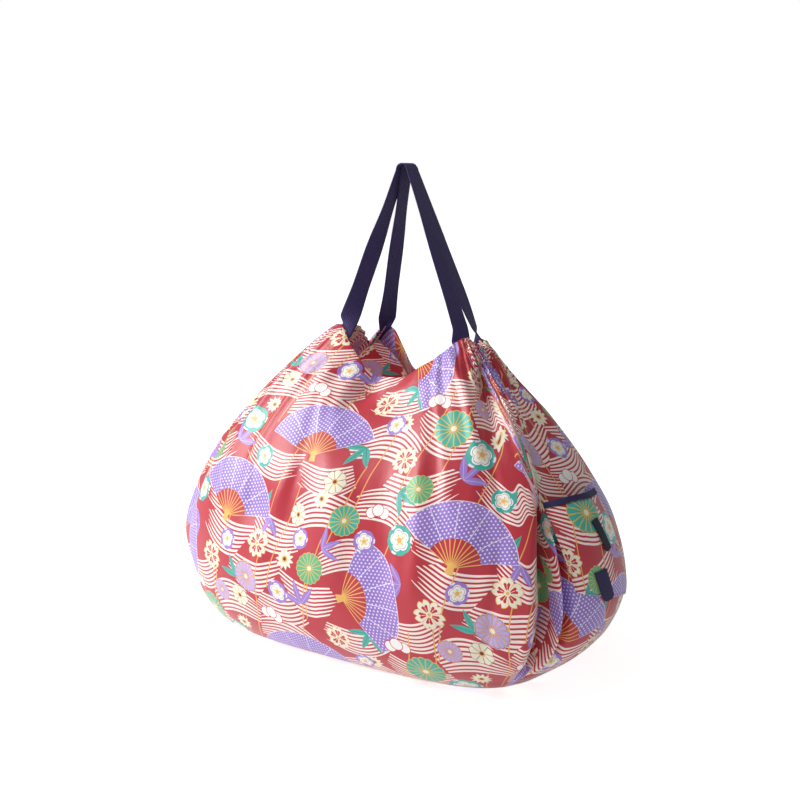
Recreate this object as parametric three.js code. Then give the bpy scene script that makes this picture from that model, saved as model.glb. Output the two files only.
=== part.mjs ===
// Foldable shopping bag of thin printed cloth, standing on its flat bottom with both
// webbing handles drawn up to a peak. Millimetres, +Z up, +X towards the pocket end,
// -Y towards the front. The origin is on the ground, under the middle of the bag.
import * as THREE from 'three';

// Driving sizes
const bagLength = 640;
const bagDepth = 356;
const bodyHeight = 392;
const handleTop = 634;
const clothThickness = 1.4;
const strapWidth = 25;
const strapThickness = 1.4;
const sewnLength = 24;
const seamGap = 1.5;
const rimClearance = 5;

// Mesh steps
const columnStep = 5.2;
const fineStep = 1.3;
const fineFrom = -43;
const fineTo = -17;
const wallRows = 24;
const floorRings = 3;
const legSteps = 17;
const sewnSteps = 3;
const bendSteps = 6;
const acrossStrap = 4;

// Level sections of the wall. up: share of the way from ground to rim; length and depth:
// half sizes as shares of the bag's half sizes; middle: shift along X; taper: how much
// shallower the +X side is; square: 2 is an ellipse, more is squarer.
const sections = [
  { up: 0.00, length: 0.715, depth: 0.585, middle: -17, taper: 0.00, square: 3.3 },
  { up: 0.05, length: 0.790, depth: 0.780, middle: -11, taper: 0.00, square: 3.1 },
  { up: 0.16, length: 0.925, depth: 0.928, middle: -4, taper: 0.00, square: 2.7 },
  { up: 0.32, length: 1.000, depth: 0.985, middle: -7, taper: 0.00, square: 2.4 },
  { up: 0.50, length: 0.930, depth: 0.905, middle: -3, taper: 0.00, square: 2.6 },
  { up: 0.66, length: 0.808, depth: 0.780, middle: 0, taper: 0.05, square: 2.7 },
  { up: 0.80, length: 0.630, depth: 0.590, middle: 8, taper: 0.12, square: 2.9 },
  { up: 0.92, length: 0.438, depth: 0.395, middle: 18, taper: 0.28, square: 2.9 },
  { up: 1.00, length: 0.316, depth: 0.264, middle: 27, taper: 0.35, square: 3.2 },
];

// Height of the rim around the mouth. angle: degrees around the plan from +X.
const rimHeights = [
  { angle: 8, height: 411 }, { angle: 22, height: 415 }, { angle: 37, height: 416 },
  { angle: 50, height: 402 }, { angle: 64, height: 376 }, { angle: 86, height: 353 },
  { angle: 98, height: 364 }, { angle: 108, height: 392 }, { angle: 118, height: 415 },
  { angle: 128, height: 421 }, { angle: 138, height: 415 }, { angle: 151, height: 398 },
  { angle: 162, height: 405 }, { angle: 176, height: 423 }, { angle: 200, height: 429 },
  { angle: 220, height: 431 }, { angle: 230, height: 425 }, { angle: 240, height: 410 },
  { angle: 252, height: 388 }, { angle: 262, height: 367 }, { angle: 270, height: 369 },
  { angle: 279, height: 384 }, { angle: 288, height: 394 }, { angle: 300, height: 407 },
  { angle: 312, height: 418 }, { angle: 324, height: 421 }, { angle: 338, height: 416 },
  { angle: 352, height: 411 },
];

// Main folds. path: up and angle of the fold's line; width: half width in degrees;
// depth: outwards in millimetres, less than nothing for a valley; low and top: where it fades.
// A fold with a reach is a step that laps over what lies after it.
const folds = [
  { name: 'mouth valley', path: [[0.84, -92], [1.0, -98]], width: 5, depth: -13, low: 0.84, top: 1.1 },
  { name: 'left ridge', path: [[0.42, -88], [0.69, -92], [0.97, -118]], width: 5, depth: 5, low: 0.36, top: 0.97 },
  { name: 'left trough', path: [[0.45, -103], [0.9, -130]], width: 8, depth: -6, low: 0.4, top: 1.0 },
  { name: 'middle trough', path: [[0.3, -78], [0.95, -84]], width: 6, depth: -5, low: 0.2, top: 0.97 },
  { name: 'middle ridge', path: [[0.2, -68], [0.92, -72]], width: 5, depth: 4, low: 0.15, top: 1.0 },
  { name: 'right ridge', path: [[0.3, -62], [0.97, -57]], width: 4, depth: 5, low: 0.25, top: 1.05 },
  { name: 'short ridge', path: [[0.42, -57], [0.85, -51]], width: 4, depth: 4, low: 0.4, top: 0.85 },
  { name: 'hollow edge', path: [[0.76, -49], [0.9, -50], [1.0, -56]], width: 3.6, depth: 7, low: 0.68, top: 1.02 },
  { name: 'hollow', path: [[0.8, -38], [0.88, -35], [0.95, -29]], width: 5, depth: -22, low: 0.76, top: 0.96 },
  { name: 'end fold edge',
    path: [[0.14, -36.5], [0.4, -36], [0.53, -33], [0.59, -30], [0.65, -27], [0.71, -23.5],
      [0.76, -21], [0.83, -17], [0.9, -13]],
    width: 1.6, reach: 13, depth: -9, low: 0.08, top: 0.94 },
  { name: 'end trough', path: [[0.6, -15], [0.7, -11], [0.78, -4], [0.86, 5]],
    width: 9, depth: -12, low: 0.62, top: 0.92 },
  { name: 'first pleat', path: [[0.12, -32.5], [0.4, -32], [0.5, -30.5], [0.58, -28]],
    width: 2.3, depth: -34, low: 0.06, top: 0.64 },
  { name: 'pleat ridge', path: [[0.12, -28], [0.4, -28], [0.52, -26.5]],
    width: 1.5, depth: 13, low: 0.1, top: 0.6 },
  { name: 'second pleat', path: [[0.12, -24], [0.3, -25.2], [0.5, -24]],
    width: 1.8, depth: -17, low: 0.1, top: 0.58 },
  { name: 'end gather', path: [[0.8, 22], [1.0, 14]], width: 6, depth: -5, low: 0.8, top: 1.1 },
  { name: 'back right trough', path: [[0.2, 34], [0.8, 38]], width: 5, depth: -14, low: 0.12, top: 0.85 },
  { name: 'back right fold', path: [[0.3, 62], [1.0, 58]], width: 6, depth: 6, low: 0.2, top: 1.0 },
  { name: 'back valley', path: [[0.7, 88], [1.0, 84]], width: 6, depth: -9, low: 0.66, top: 1.1 },
  { name: 'back ridge', path: [[0.3, 100], [1.0, 106]], width: 6, depth: 5, low: 0.2, top: 1.0 },
  { name: 'back left trough', path: [[0.4, 124], [1.0, 120]], width: 7, depth: -6, low: 0.3, top: 1.0 },
  { name: 'left end pleat', path: [[0.2, 148], [0.8, 152]], width: 4, depth: -16, low: 0.12, top: 0.86 },
  { name: 'left end trough', path: [[0.6, 178], [1.0, 168]], width: 9, depth: -8, low: 0.55, top: 1.1 },
  { name: 'left front fold', path: [[0.2, 214], [0.8, 212]], width: 5, depth: -6, low: 0.12, top: 0.9 },
];

// Where the handles are sewn in. angle: around the mouth; turn: degrees in plan of the
// webbing's width half way up; rise: how far the leg runs on in line with the wall.
const bendAxis = { x: 18, turn: 90, radius: 4.6, layer: 3.2, spread: 3.5 };
const handles = [
  { name: 'handle_front', side: -1, layer: 1,
    left: { angle: 228, baseTurn: 20, turn: 64, rise: 4 }, right: { angle: 322, baseTurn: 70, turn: 80, rise: 4 } },
  { name: 'handle_back', side: 1, layer: 0,
    left: { angle: 132, baseTurn: 46, turn: 76, rise: 4 }, right: { angle: 36, baseTurn: 112, turn: 90, rise: 4 } },
];

// Patch pocket on the +X end, its corners as angle and up on the wall.
const pocket = {
  topLeft: [-26, 0.61], topRight: [4, 0.606], lowLeft: [-21.5, 0.375], lowRight: [9, 0.285],
  thickness: 1.4, gap: 1.3, gape: 16, deepest: -3, across: 12, down: 12,
};
const binding = { height: 7, thickness: 3, gap: 0.4 };
const labelTab = { across: 0.62, down: 0.33, width: 14, length: 44, lean: -16, skew: -14, thickness: 1, gap: 0.7 };
const closingTab = { across: 0.44, down: 0.86, width: 22, length: 40, lean: -18, skew: -16, thickness: 1.6, gap: 0.8 };

const colours = { cloth: 0xc6465a, webbing: 0x352c58, label: 0x1f2138 };
const degree = Math.PI / 180;

// Smooth curve through the points that never overshoots them
function smoothCurve(xs, ys) {
  const count = xs.length;
  const step = xs.slice(1).map((x, i) => x - xs[i]);
  const rise = step.map((h, i) => (ys[i + 1] - ys[i]) / h);
  const slope = xs.map((x, i) => {
    if (i === 0 || i === count - 1) return 0;
    if (rise[i - 1] * rise[i] <= 0) return 0;
    const before = 2 * step[i] + step[i - 1];
    const after = step[i] + 2 * step[i - 1];
    return (before + after) / (before / rise[i - 1] + after / rise[i]);
  });
  slope[0] = rise[0];
  slope[count - 1] = rise[count - 2];
  return (x) => {
    if (x <= xs[0]) return ys[0];
    if (x >= xs[count - 1]) return ys[count - 1];
    let i = 0;
    while (x > xs[i + 1]) i += 1;
    const t = (x - xs[i]) / step[i];
    const keep = (1 + 2 * t) * (1 - t) * (1 - t);
    const lead = t * (1 - t) * (1 - t) * step[i];
    const tail = t * t * (t - 1) * step[i];
    return keep * ys[i] + lead * slope[i] + (1 - keep) * ys[i + 1] + tail * slope[i + 1];
  };
}

const column = (name) => smoothCurve(sections.map((row) => row.up), sections.map((row) => row[name]));
const halfLength = column('length');
const halfDepth = column('depth');
const middle = column('middle');
const taper = column('taper');
const square = column('square');

const rimLoop = [-360, 0, 360].flatMap((turn) => rimHeights.map((row) => [row.angle + turn, row.height]));
const rimHeight = smoothCurve(rimLoop.map((p) => p[0]), rimLoop.map((p) => p[1]));
const foldLines = folds.map((fold) => ({
  ...fold,
  line: smoothCurve(fold.path.map((p) => p[0]), fold.path.map((p) => p[1])),
}));

const smooth = (low, high, x) => THREE.MathUtils.smoothstep(x, low, high);
const signedPower = (x, power) => Math.sign(x) * Math.abs(x) ** power;

// How far the folds push the cloth outwards
function foldDepth(angle, up) {
  let depth = 0;
  for (const fold of foldLines) {
    const fade = smooth(fold.low, fold.low + 0.12, up) * (1 - smooth(fold.top - 0.08, fold.top, up));
    let away = (angle - fold.line(up)) % 360;
    if (away > 180) away -= 360;
    if (away < -180) away += 360;
    const shape = fold.reach ? Math.tanh(away / fold.width) * Math.exp(-((away / fold.reach) ** 2))
      : Math.exp(-((away / fold.width) ** 2));
    depth += fold.depth * fade * shape;
  }
  return depth;
}

// Point of the outer face of the wall. deepest: folds deeper than this are bridged
function wallPoint(angle, up, deepest = -Infinity) {
  const power = 2 / square(up);
  const cosine = Math.cos(angle * degree);
  const sine = Math.sin(angle * degree);
  const along = signedPower(cosine, power);
  const over = signedPower(sine, power);
  const length = halfLength(up) * bagLength / 2;
  const depth = halfDepth(up) * bagDepth / 2 * (1 - taper(up) * along);
  const normal = new THREE.Vector2(signedPower(cosine, 2 - power) / length,
    signedPower(sine, 2 - power) / depth).normalize();
  const push = Math.max(foldDepth(angle, up), deepest);
  const lift = smooth(0.55, 1, up) ** 1.5;
  return new THREE.Vector3(
    middle(up) + length * along + normal.x * push,
    depth * over + normal.y * push,
    bodyHeight * up + lift * (rimHeight(((angle % 360) + 360) % 360) - bodyHeight),
  );
}

// Outward normal of the wall
function wallNormal(angle, up, deepest = -Infinity) {
  const top = Math.min(up + 0.008, 1);
  const around = wallPoint(angle + 1, up, deepest).sub(wallPoint(angle - 1, up, deepest));
  const rise = wallPoint(angle, top, deepest).sub(wallPoint(angle, top - 0.016, deepest));
  return around.cross(rise).normalize();
}

// Named mesh from corner points and triangles
function solidMesh(name, points, faces, material) {
  const geometry = new THREE.BufferGeometry();
  geometry.setAttribute('position', new THREE.Float32BufferAttribute(points.flatMap((p) => p.toArray()), 3));
  geometry.setIndex(faces.flat());
  geometry.computeVertexNormals();
  const mesh = new THREE.Mesh(geometry, material);
  mesh.name = name;
  return mesh;
}

// Closed sheet from a grid of middle points: both faces, and a wall around the edge
function sheetMesh(name, grid, thickness, material) {
  const rows = grid.length;
  const count = grid[0].length;
  const normalAt = (i, j) => {
    const along = grid[Math.min(i + 1, rows - 1)][j].clone().sub(grid[Math.max(i - 1, 0)][j]);
    const across = grid[i][Math.min(j + 1, count - 1)].clone().sub(grid[i][Math.max(j - 1, 0)]);
    return along.cross(across).normalize();
  };
  const points = [];
  for (const side of [0.5, -0.5]) {
    for (let i = 0; i < rows; i += 1) {
      for (let j = 0; j < count; j += 1) {
        points.push(grid[i][j].clone().addScaledVector(normalAt(i, j), side * thickness));
      }
    }
  }
  const at = (side, i, j) => side * rows * count + i * count + j;
  const faces = [];
  const quad = (a, b, c, d) => faces.push([a, b, c], [a, c, d]);
  for (let i = 0; i < rows - 1; i += 1) {
    for (let j = 0; j < count - 1; j += 1) {
      quad(at(0, i, j), at(0, i + 1, j), at(0, i + 1, j + 1), at(0, i, j + 1));
      quad(at(1, i, j), at(1, i, j + 1), at(1, i + 1, j + 1), at(1, i + 1, j));
    }
    quad(at(0, i, 0), at(1, i, 0), at(1, i + 1, 0), at(0, i + 1, 0));
    quad(at(0, i, count - 1), at(0, i + 1, count - 1), at(1, i + 1, count - 1), at(1, i, count - 1));
  }
  for (let j = 0; j < count - 1; j += 1) {
    quad(at(0, 0, j), at(0, 0, j + 1), at(1, 0, j + 1), at(1, 0, j));
    quad(at(0, rows - 1, j), at(1, rows - 1, j), at(1, rows - 1, j + 1), at(0, rows - 1, j + 1));
  }
  return solidMesh(name, points, faces, material);
}

// The cloth body: an outer and an inner skin joined at the rim, on a flat bottom
function makeBody(material) {
  const angles = [];
  for (let angle = fineFrom; angle < fineTo - 0.01; angle += fineStep) angles.push(angle);
  const coarse = Math.round((360 - (fineTo - fineFrom)) / columnStep);
  for (let i = 0; i < coarse; i += 1) angles.push(fineTo + i * (360 - (fineTo - fineFrom)) / coarse);
  const columns = angles.length;
  const ups = Array.from({ length: wallRows + 1 }, (_, i) => (i / wallRows) ** 1.25);
  const outer = ups.map((up) => angles.map((angle) => wallPoint(angle, up)));
  const inner = ups.map((up, i) => angles.map((angle, j) => {
    const normal = wallNormal(angle, up);
    if (i === 0) normal.add(new THREE.Vector3(0, 0, -1)).normalize();
    return outer[i][j].clone().addScaledVector(normal, -clothThickness);
  }));
  inner[0].forEach((point) => { point.z = clothThickness; });

  const points = [...outer.flat(), ...inner.flat()];
  const at = (skin, i, j) => skin * (wallRows + 1) * columns + i * columns + (j % columns);
  const faces = [];
  const quad = (a, b, c, d) => faces.push([a, b, c], [a, c, d]);
  for (let i = 0; i < wallRows; i += 1) {
    for (let j = 0; j < columns; j += 1) {
      quad(at(0, i, j), at(0, i, j + 1), at(0, i + 1, j + 1), at(0, i + 1, j));
      quad(at(1, i, j), at(1, i + 1, j), at(1, i + 1, j + 1), at(1, i, j + 1));
    }
  }
  for (let j = 0; j < columns; j += 1) {
    quad(at(0, wallRows, j), at(0, wallRows, j + 1), at(1, wallRows, j + 1), at(1, wallRows, j));
  }

  // Flat bottom, outer face down and inner face up
  for (const skin of [0, 1]) {
    const edge = skin === 0 ? outer[0] : inner[0];
    const centre = new THREE.Vector3(sections[0].middle, 0, edge[0].z);
    let ring = angles.map((_, j) => at(skin, 0, j));
    const face = skin === 0 ? (a, b, c) => faces.push([a, b, c]) : (a, b, c) => faces.push([a, c, b]);
    for (let k = 1; k < floorRings; k += 1) {
      const start = points.length;
      edge.forEach((point) => points.push(point.clone().lerp(centre, k / floorRings)));
      for (let j = 0; j < columns; j += 1) {
        const next = (j + 1) % columns;
        face(ring[j], start + j, start + next);
        face(ring[j], start + next, ring[next]);
      }
      ring = angles.map((_, j) => start + j);
    }
    points.push(centre);
    for (let j = 0; j < columns; j += 1) face(ring[j], points.length - 1, ring[(j + 1) % columns]);
  }
  return solidMesh('bag_body', points, faces, material);
}

// Row of points across the webbing where it is sewn flat on the inside of the wall
function sewnRow(angle, below) {
  const up = 1 - below / bodyHeight;
  const span = wallPoint(angle + 1, up).distanceTo(wallPoint(angle - 1, up)) / 2;
  const inset = clothThickness + seamGap + strapThickness / 2;
  return Array.from({ length: acrossStrap + 1 }, (_, j) => {
    const spot = angle + (j / acrossStrap - 0.5) * strapWidth / span;
    return wallPoint(spot, up).addScaledVector(wallNormal(spot, up), -inset);
  });
}

// One leg of a handle, from the sewn end up to the top bend
function legRows(leg, side, sense, layer) {
  const reach = bendAxis.radius + layer * bendAxis.layer;
  const top = new THREE.Vector3(bendAxis.x + sense * reach, side * bendAxis.spread,
    handleTop - bendAxis.radius - bendAxis.layer);
  const sewn = Array.from({ length: sewnSteps + 1 }, (_, i) => sewnRow(leg.angle, sewnLength * (1 - i / sewnSteps)));
  const wallRise = sewn[sewnSteps][acrossStrap / 2].clone().sub(sewn[sewnSteps - 1][acrossStrap / 2]).normalize();
  const last = sewn[sewnSteps].map((point) => point.clone().addScaledVector(wallRise, rimClearance));
  const base = last[acrossStrap / 2];
  const curve = new THREE.CubicBezierCurve3(base, base.clone().lerp(top, 0.08).addScaledVector(wallRise, leg.rise),
    top.clone().lerp(base, 0.5), top);
  const flip = last[acrossStrap].clone().sub(last[0]);
  const rows = [...sewn, last];
  for (let i = 1; i <= legSteps; i += 1) {
    const t = i / legSteps;
    const centre = curve.getPoint(t);
    const early = smooth(0, 0.45, t);
    const late = smooth(0.6, 0.88, t);
    const turn = (leg.baseTurn + (leg.turn - leg.baseTurn) * early) * (1 - late) + bendAxis.turn * late;
    const width = new THREE.Vector3(Math.cos(turn * degree), Math.sin(turn * degree), 0);
    if (i === 1 && width.dot(flip) < 0) leg.reversed = true;
    if (leg.reversed) width.negate();
    const along = curve.getTangent(t);
    const square = 1 - smooth(0.6, 0.85, t);
    width.addScaledVector(along, -width.dot(along) * square).normalize();
    const settle = 1 - smooth(0, 0.16, t);
    rows.push(last.map((point, j) => {
      const flat = centre.clone().addScaledVector(width, (j / acrossStrap - 0.5) * strapWidth);
      const curled = centre.clone().add(point).sub(base);
      return flat.lerp(curled, settle);
    }));
  }
  return rows;
}

// Webbing handle: sewn end, leg, bend over the top, leg, sewn end
function makeHandle(handle, material) {
  const left = legRows(handle.left, handle.side, -1, handle.layer);
  const right = legRows(handle.right, handle.side, 1, handle.layer).reverse();
  if (handle.left.reversed !== handle.right.reversed) right.forEach((row) => row.reverse());
  const reach = bendAxis.radius + handle.layer * bendAxis.layer;
  const bend = [];
  const start = left[left.length - 1];
  const end = right[0];
  for (let i = 1; i < bendSteps; i += 1) {
    const t = i / bendSteps;
    const swing = Math.PI * t;
    bend.push(start.map((point, j) => {
      const spot = point.clone().lerp(end[j], (1 - Math.cos(swing)) / 2);
      spot.z += reach * Math.sin(swing);
      return spot;
    }));
  }
  return sheetMesh(handle.name, [...left, ...bend, ...right], strapThickness, material);
}

// Middle surface of the patch pocket, from its mouth down; it stands off the wall at the mouth
function pocketPoint(across, down) {
  const angle = THREE.MathUtils.lerp(
    THREE.MathUtils.lerp(pocket.topLeft[0], pocket.topRight[0], across),
    THREE.MathUtils.lerp(pocket.lowLeft[0], pocket.lowRight[0], across), down);
  const up = THREE.MathUtils.lerp(
    THREE.MathUtils.lerp(pocket.topLeft[1], pocket.topRight[1], across),
    THREE.MathUtils.lerp(pocket.lowLeft[1], pocket.lowRight[1], across), down);
  const open = Math.max(0, Math.sin(Math.PI * across)) ** 0.8;
  const gape = pocket.gape * open * Math.max(0, 1 - down) ** 1.3;
  const outward = wallNormal(angle, up, pocket.deepest);
  return wallPoint(angle, up, pocket.deepest).addScaledVector(outward, pocket.gap + pocket.thickness / 2 + gape);
}

// Directions on the pocket: aside along its mouth, upward in its surface, and outward
function pocketFrame(across, down) {
  const step = 0.02;
  const aside = pocketPoint(across + step, down).sub(pocketPoint(across - step, down)).normalize();
  const below = pocketPoint(across, down + step).sub(pocketPoint(across, down - step));
  const outward = below.cross(aside).normalize();
  return { aside, upward: outward.clone().cross(aside).normalize(), outward };
}

function makePocket(material) {
  const grid = Array.from({ length: pocket.down + 1 }, (_, i) => Array.from({ length: pocket.across + 1 },
    (_, j) => pocketPoint(j / pocket.across, i / pocket.down)));
  return sheetMesh('pocket_panel', grid, pocket.thickness, material);
}

// Folded webbing along the pocket's mouth, standing on its top edge
function makeBinding(material) {
  const grid = [1, 0].map((row) => Array.from({ length: pocket.across + 1 }, (_, j) => {
    const across = j / pocket.across;
    const frame = pocketFrame(across, 0);
    return pocketPoint(across, 0).addScaledVector(frame.upward, binding.gap + row * binding.height)
      .addScaledVector(frame.outward, binding.thickness * 0.15);
  }));
  return sheetMesh('pocket_binding', grid, binding.thickness, material);
}

// Short tab lying on the pocket, leaning with the pocket's side
function makeTab(name, tab, material) {
  const steps = 4;
  const frame = pocketFrame(tab.across, tab.down);
  const width = frame.aside.clone().applyAxisAngle(frame.outward, -tab.lean * degree);
  const length = frame.upward.clone().negate().applyAxisAngle(frame.outward, -(tab.lean + tab.skew) * degree);
  const lift = pocket.thickness / 2 + tab.gap + tab.thickness / 2;
  const grid = Array.from({ length: steps + 1 }, (_, i) => Array.from({ length: 3 }, (_, j) => {
    const spot = pocketPoint(tab.across, tab.down)
      .addScaledVector(width, (j / 2 - 0.5) * tab.width)
      .addScaledVector(length, (i / steps - 0.5) * tab.length);
    return spot.addScaledVector(frame.outward, lift + tabClearance(spot, frame.outward));
  }));
  return sheetMesh(name, grid, tab.thickness, material);
}

// How far a flat tab must rise at a spot so that it stays outside the pocket's curve
function tabClearance(spot, outward) {
  let nearest = Infinity;
  let rise = 0;
  for (let i = 0; i <= 40; i += 1) {
    for (let j = 0; j <= 40; j += 1) {
      const point = pocketPoint(j / 40, i / 40);
      const away = point.clone().sub(spot);
      const height = away.dot(outward);
      const aside = away.addScaledVector(outward, -height).length();
      if (aside < nearest) {
        nearest = aside;
        rise = height;
      }
    }
  }
  return rise;
}

const cloth = new THREE.MeshStandardMaterial({ color: colours.cloth, roughness: 0.5, metalness: 0, name: 'printed_cloth' });
const webbing = new THREE.MeshStandardMaterial({ color: colours.webbing, roughness: 0.7, metalness: 0, name: 'webbing' });
const labelCloth = new THREE.MeshStandardMaterial({ color: colours.label, roughness: 0.6, metalness: 0, name: 'label_cloth' });

const bag = new THREE.Group();
const body = new THREE.Group();
body.add(makeBody(cloth));
const grips = new THREE.Group();
handles.forEach((handle) => grips.add(makeHandle(handle, webbing)));
const pouch = new THREE.Group();
pouch.add(makePocket(cloth), makeBinding(webbing));
pouch.add(makeTab('label_tab', labelTab, labelCloth), makeTab('closing_tab', closingTab, webbing));
bag.add(body, grips, pouch);

// The origin goes under the middle of the whole bag
const extent = new THREE.Box3().setFromObject(bag);
bag.position.set(-(extent.min.x + extent.max.x) / 2, -(extent.min.y + extent.max.y) / 2, 0);

export default bag;
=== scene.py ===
import math

import bpy
import numpy as np
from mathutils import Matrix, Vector


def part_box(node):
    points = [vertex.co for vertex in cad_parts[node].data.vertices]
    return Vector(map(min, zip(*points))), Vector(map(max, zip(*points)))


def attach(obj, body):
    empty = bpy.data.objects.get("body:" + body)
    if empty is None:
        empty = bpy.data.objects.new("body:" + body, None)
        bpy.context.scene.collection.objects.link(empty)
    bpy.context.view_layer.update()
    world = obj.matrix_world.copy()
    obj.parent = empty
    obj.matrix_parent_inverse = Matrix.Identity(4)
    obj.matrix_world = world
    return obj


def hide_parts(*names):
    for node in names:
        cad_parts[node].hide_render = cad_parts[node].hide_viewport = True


# A printed cloth shopping bag that stands full, with its webbing handles drawn up.
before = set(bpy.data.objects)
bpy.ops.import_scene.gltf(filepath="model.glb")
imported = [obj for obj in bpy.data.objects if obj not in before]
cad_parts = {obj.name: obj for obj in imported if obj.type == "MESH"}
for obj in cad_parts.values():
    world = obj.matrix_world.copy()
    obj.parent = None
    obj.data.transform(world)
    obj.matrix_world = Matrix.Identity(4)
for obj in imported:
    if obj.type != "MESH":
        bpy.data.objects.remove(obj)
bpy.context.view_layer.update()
mm = 0.001
print("frame loaded")

# The wall of the bag, in millimetres. up is the share of the way from the ground to the rim,
# angle goes around the plan from +X.
bag = {
    "length": 640,
    "depth": 356,
    "height": 392,
    "cloth": 1.0,
    "rows": 80,
    "floorRings": 8,
    "evenRows": 21,
    "samples": 401,
    "angleStep": 0.1,
    "sampleLevels": (0.1, 0.3, 0.5, 0.8),
    "slackPerDegree": 0.4,
    "rimFrom": 0.55,
    "rimEase": 1.5,
    "normalStep": 0.008,
}
sections = [
    dict(up=0.00, length=0.715, depth=0.585, middle=-17, taper=0.00, square=3.3),
    dict(up=0.05, length=0.790, depth=0.780, middle=-11, taper=0.00, square=3.1),
    dict(up=0.16, length=0.925, depth=0.928, middle=-4, taper=0.00, square=2.7),
    dict(up=0.32, length=1.000, depth=0.985, middle=-7, taper=0.00, square=2.4),
    dict(up=0.50, length=0.930, depth=0.905, middle=-3, taper=0.00, square=2.6),
    dict(up=0.66, length=0.808, depth=0.780, middle=0, taper=0.05, square=2.7),
    dict(up=0.80, length=0.630, depth=0.590, middle=8, taper=0.12, square=2.9),
    dict(up=0.92, length=0.438, depth=0.395, middle=18, taper=0.28, square=2.9),
    dict(up=1.00, length=0.316, depth=0.264, middle=27, taper=0.35, square=3.2),
]
rimHeights = {
    8: 411, 22: 415, 37: 416, 50: 402, 64: 376, 86: 353, 98: 364, 108: 392, 118: 415, 128: 421,
    138: 415, 151: 398, 162: 405, 176: 423, 200: 429, 220: 431, 230: 425, 240: 410, 252: 388,
    262: 367, 270: 369, 279: 384, 288: 394, 300: 407, 312: 418, 324: 421, 338: 416, 352: 411,
}
# Folds: where each line runs as (up, angle), its half width in degrees, how far it pushes
# outwards, and the heights between which it shows. A fold with a reach is a step that laps
# over what lies after it.
folds = [
    dict(path=[(0.84, -92), (1.0, -98)], width=5, depth=-13, low=0.84, top=1.1),
    dict(path=[(0.42, -88), (0.69, -92), (0.97, -118)], width=5, depth=5, low=0.36, top=0.97),
    dict(path=[(0.45, -103), (0.9, -130)], width=8, depth=-6, low=0.4, top=1.0),
    dict(path=[(0.3, -78), (0.95, -84)], width=6, depth=-5, low=0.2, top=0.97),
    dict(path=[(0.2, -68), (0.92, -72)], width=5, depth=4, low=0.15, top=1.0),
    dict(path=[(0.3, -62), (0.97, -57)], width=4, depth=5, low=0.25, top=1.05),
    dict(path=[(0.42, -57), (0.85, -51)], width=4, depth=4, low=0.4, top=0.85),
    dict(path=[(0.76, -49), (0.9, -50), (1.0, -56)], width=3.6, depth=7, low=0.68, top=1.02),
    dict(path=[(0.8, -38), (0.88, -35), (0.95, -29)], width=5, depth=-22, low=0.76, top=0.96),
    dict(path=[(0.14, -36.5), (0.4, -36), (0.53, -33), (0.59, -30), (0.65, -27), (0.71, -23.5),
               (0.76, -21), (0.83, -17), (0.9, -13)],
         width=1.6, reach=13, depth=-9, low=0.08, top=0.94),
    dict(path=[(0.6, -15), (0.7, -11), (0.78, -4), (0.86, 5)], width=9, depth=-12, low=0.62, top=0.92),
    dict(path=[(0.12, -32.5), (0.4, -32), (0.5, -30.5), (0.58, -28)],
         width=2.3, depth=-34, low=0.06, top=0.64),
    dict(path=[(0.12, -28), (0.4, -28), (0.52, -26.5)], width=1.5, depth=13, low=0.1, top=0.6),
    dict(path=[(0.12, -24), (0.3, -25.2), (0.5, -24)], width=1.8, depth=-17, low=0.1, top=0.58),
    dict(path=[(0.8, 22), (1.0, 14)], width=6, depth=-5, low=0.8, top=1.1),
    dict(path=[(0.2, 34), (0.8, 38)], width=5, depth=-14, low=0.12, top=0.85),
    dict(path=[(0.3, 62), (1.0, 58)], width=6, depth=6, low=0.2, top=1.0),
    dict(path=[(0.7, 88), (1.0, 84)], width=6, depth=-9, low=0.66, top=1.1),
    dict(path=[(0.3, 100), (1.0, 106)], width=6, depth=5, low=0.2, top=1.0),
    dict(path=[(0.4, 124), (1.0, 120)], width=7, depth=-6, low=0.3, top=1.0),
    dict(path=[(0.2, 148), (0.8, 152)], width=4, depth=-16, low=0.12, top=0.86),
    dict(path=[(0.6, 178), (1.0, 168)], width=9, depth=-8, low=0.55, top=1.1),
    dict(path=[(0.2, 214), (0.8, 212)], width=5, depth=-6, low=0.12, top=0.9),
]
# Fine creases that only the visible cloth has
creases = [
    dict(path=[(0.25, -104), (0.62, -100)], width=2.2, depth=3.2, low=0.2, top=0.74),
    dict(path=[(0.5, -112), (0.9, -124)], width=2.2, depth=3.4, low=0.44, top=0.97),
    dict(path=[(0.5, -122), (0.92, -140)], width=2.4, depth=3.0, low=0.46, top=0.94),
    dict(path=[(0.41, -88.5), (0.56, -89.5), (0.75, -91), (0.92, -103.5)],
         width=2.8, depth=4.5, low=0.34, top=1.03),
    dict(path=[(0.45, -96), (0.75, -99), (0.9, -111)], width=2.8, depth=-3.6, low=0.4, top=1.0),
    dict(path=[(0.3, -74), (0.7, -77)], width=2.0, depth=2.6, low=0.24, top=0.8),
    dict(path=[(0.25, -84), (0.75, -88)], width=2.2, depth=-2.4, low=0.2, top=0.84),
    dict(path=[(0.7, -62.5), (0.83, -64.5), (0.95, -66)], width=2.6, depth=4.2, low=0.56, top=1.08),
    dict(path=[(0.4, -70.5), (0.7, -71)], width=2.4, depth=3.0, low=0.3, top=0.8),
    dict(path=[(0.79, -41), (0.87, -37.5), (0.94, -32)], width=4.0, depth=-8.0, low=0.7, top=0.96),
    dict(path=[(0.72, -30), (0.86, -25)], width=2.2, depth=4.0, low=0.68, top=0.92),
    dict(path=[(0.15, -52), (0.5, -47)], width=2.0, depth=-2.4, low=0.1, top=0.56),
    dict(path=[(0.1, -40), (0.4, -38)], width=1.5, depth=2.2, low=0.06, top=0.46),
    dict(path=[(0.55, -44), (0.8, -44)], width=1.6, depth=-2.0, low=0.5, top=0.84),
]
# Over how much of the height a fold comes in at its low end and goes out at its top
foldFade = {"low": 0.12, "top": 0.08}
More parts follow.
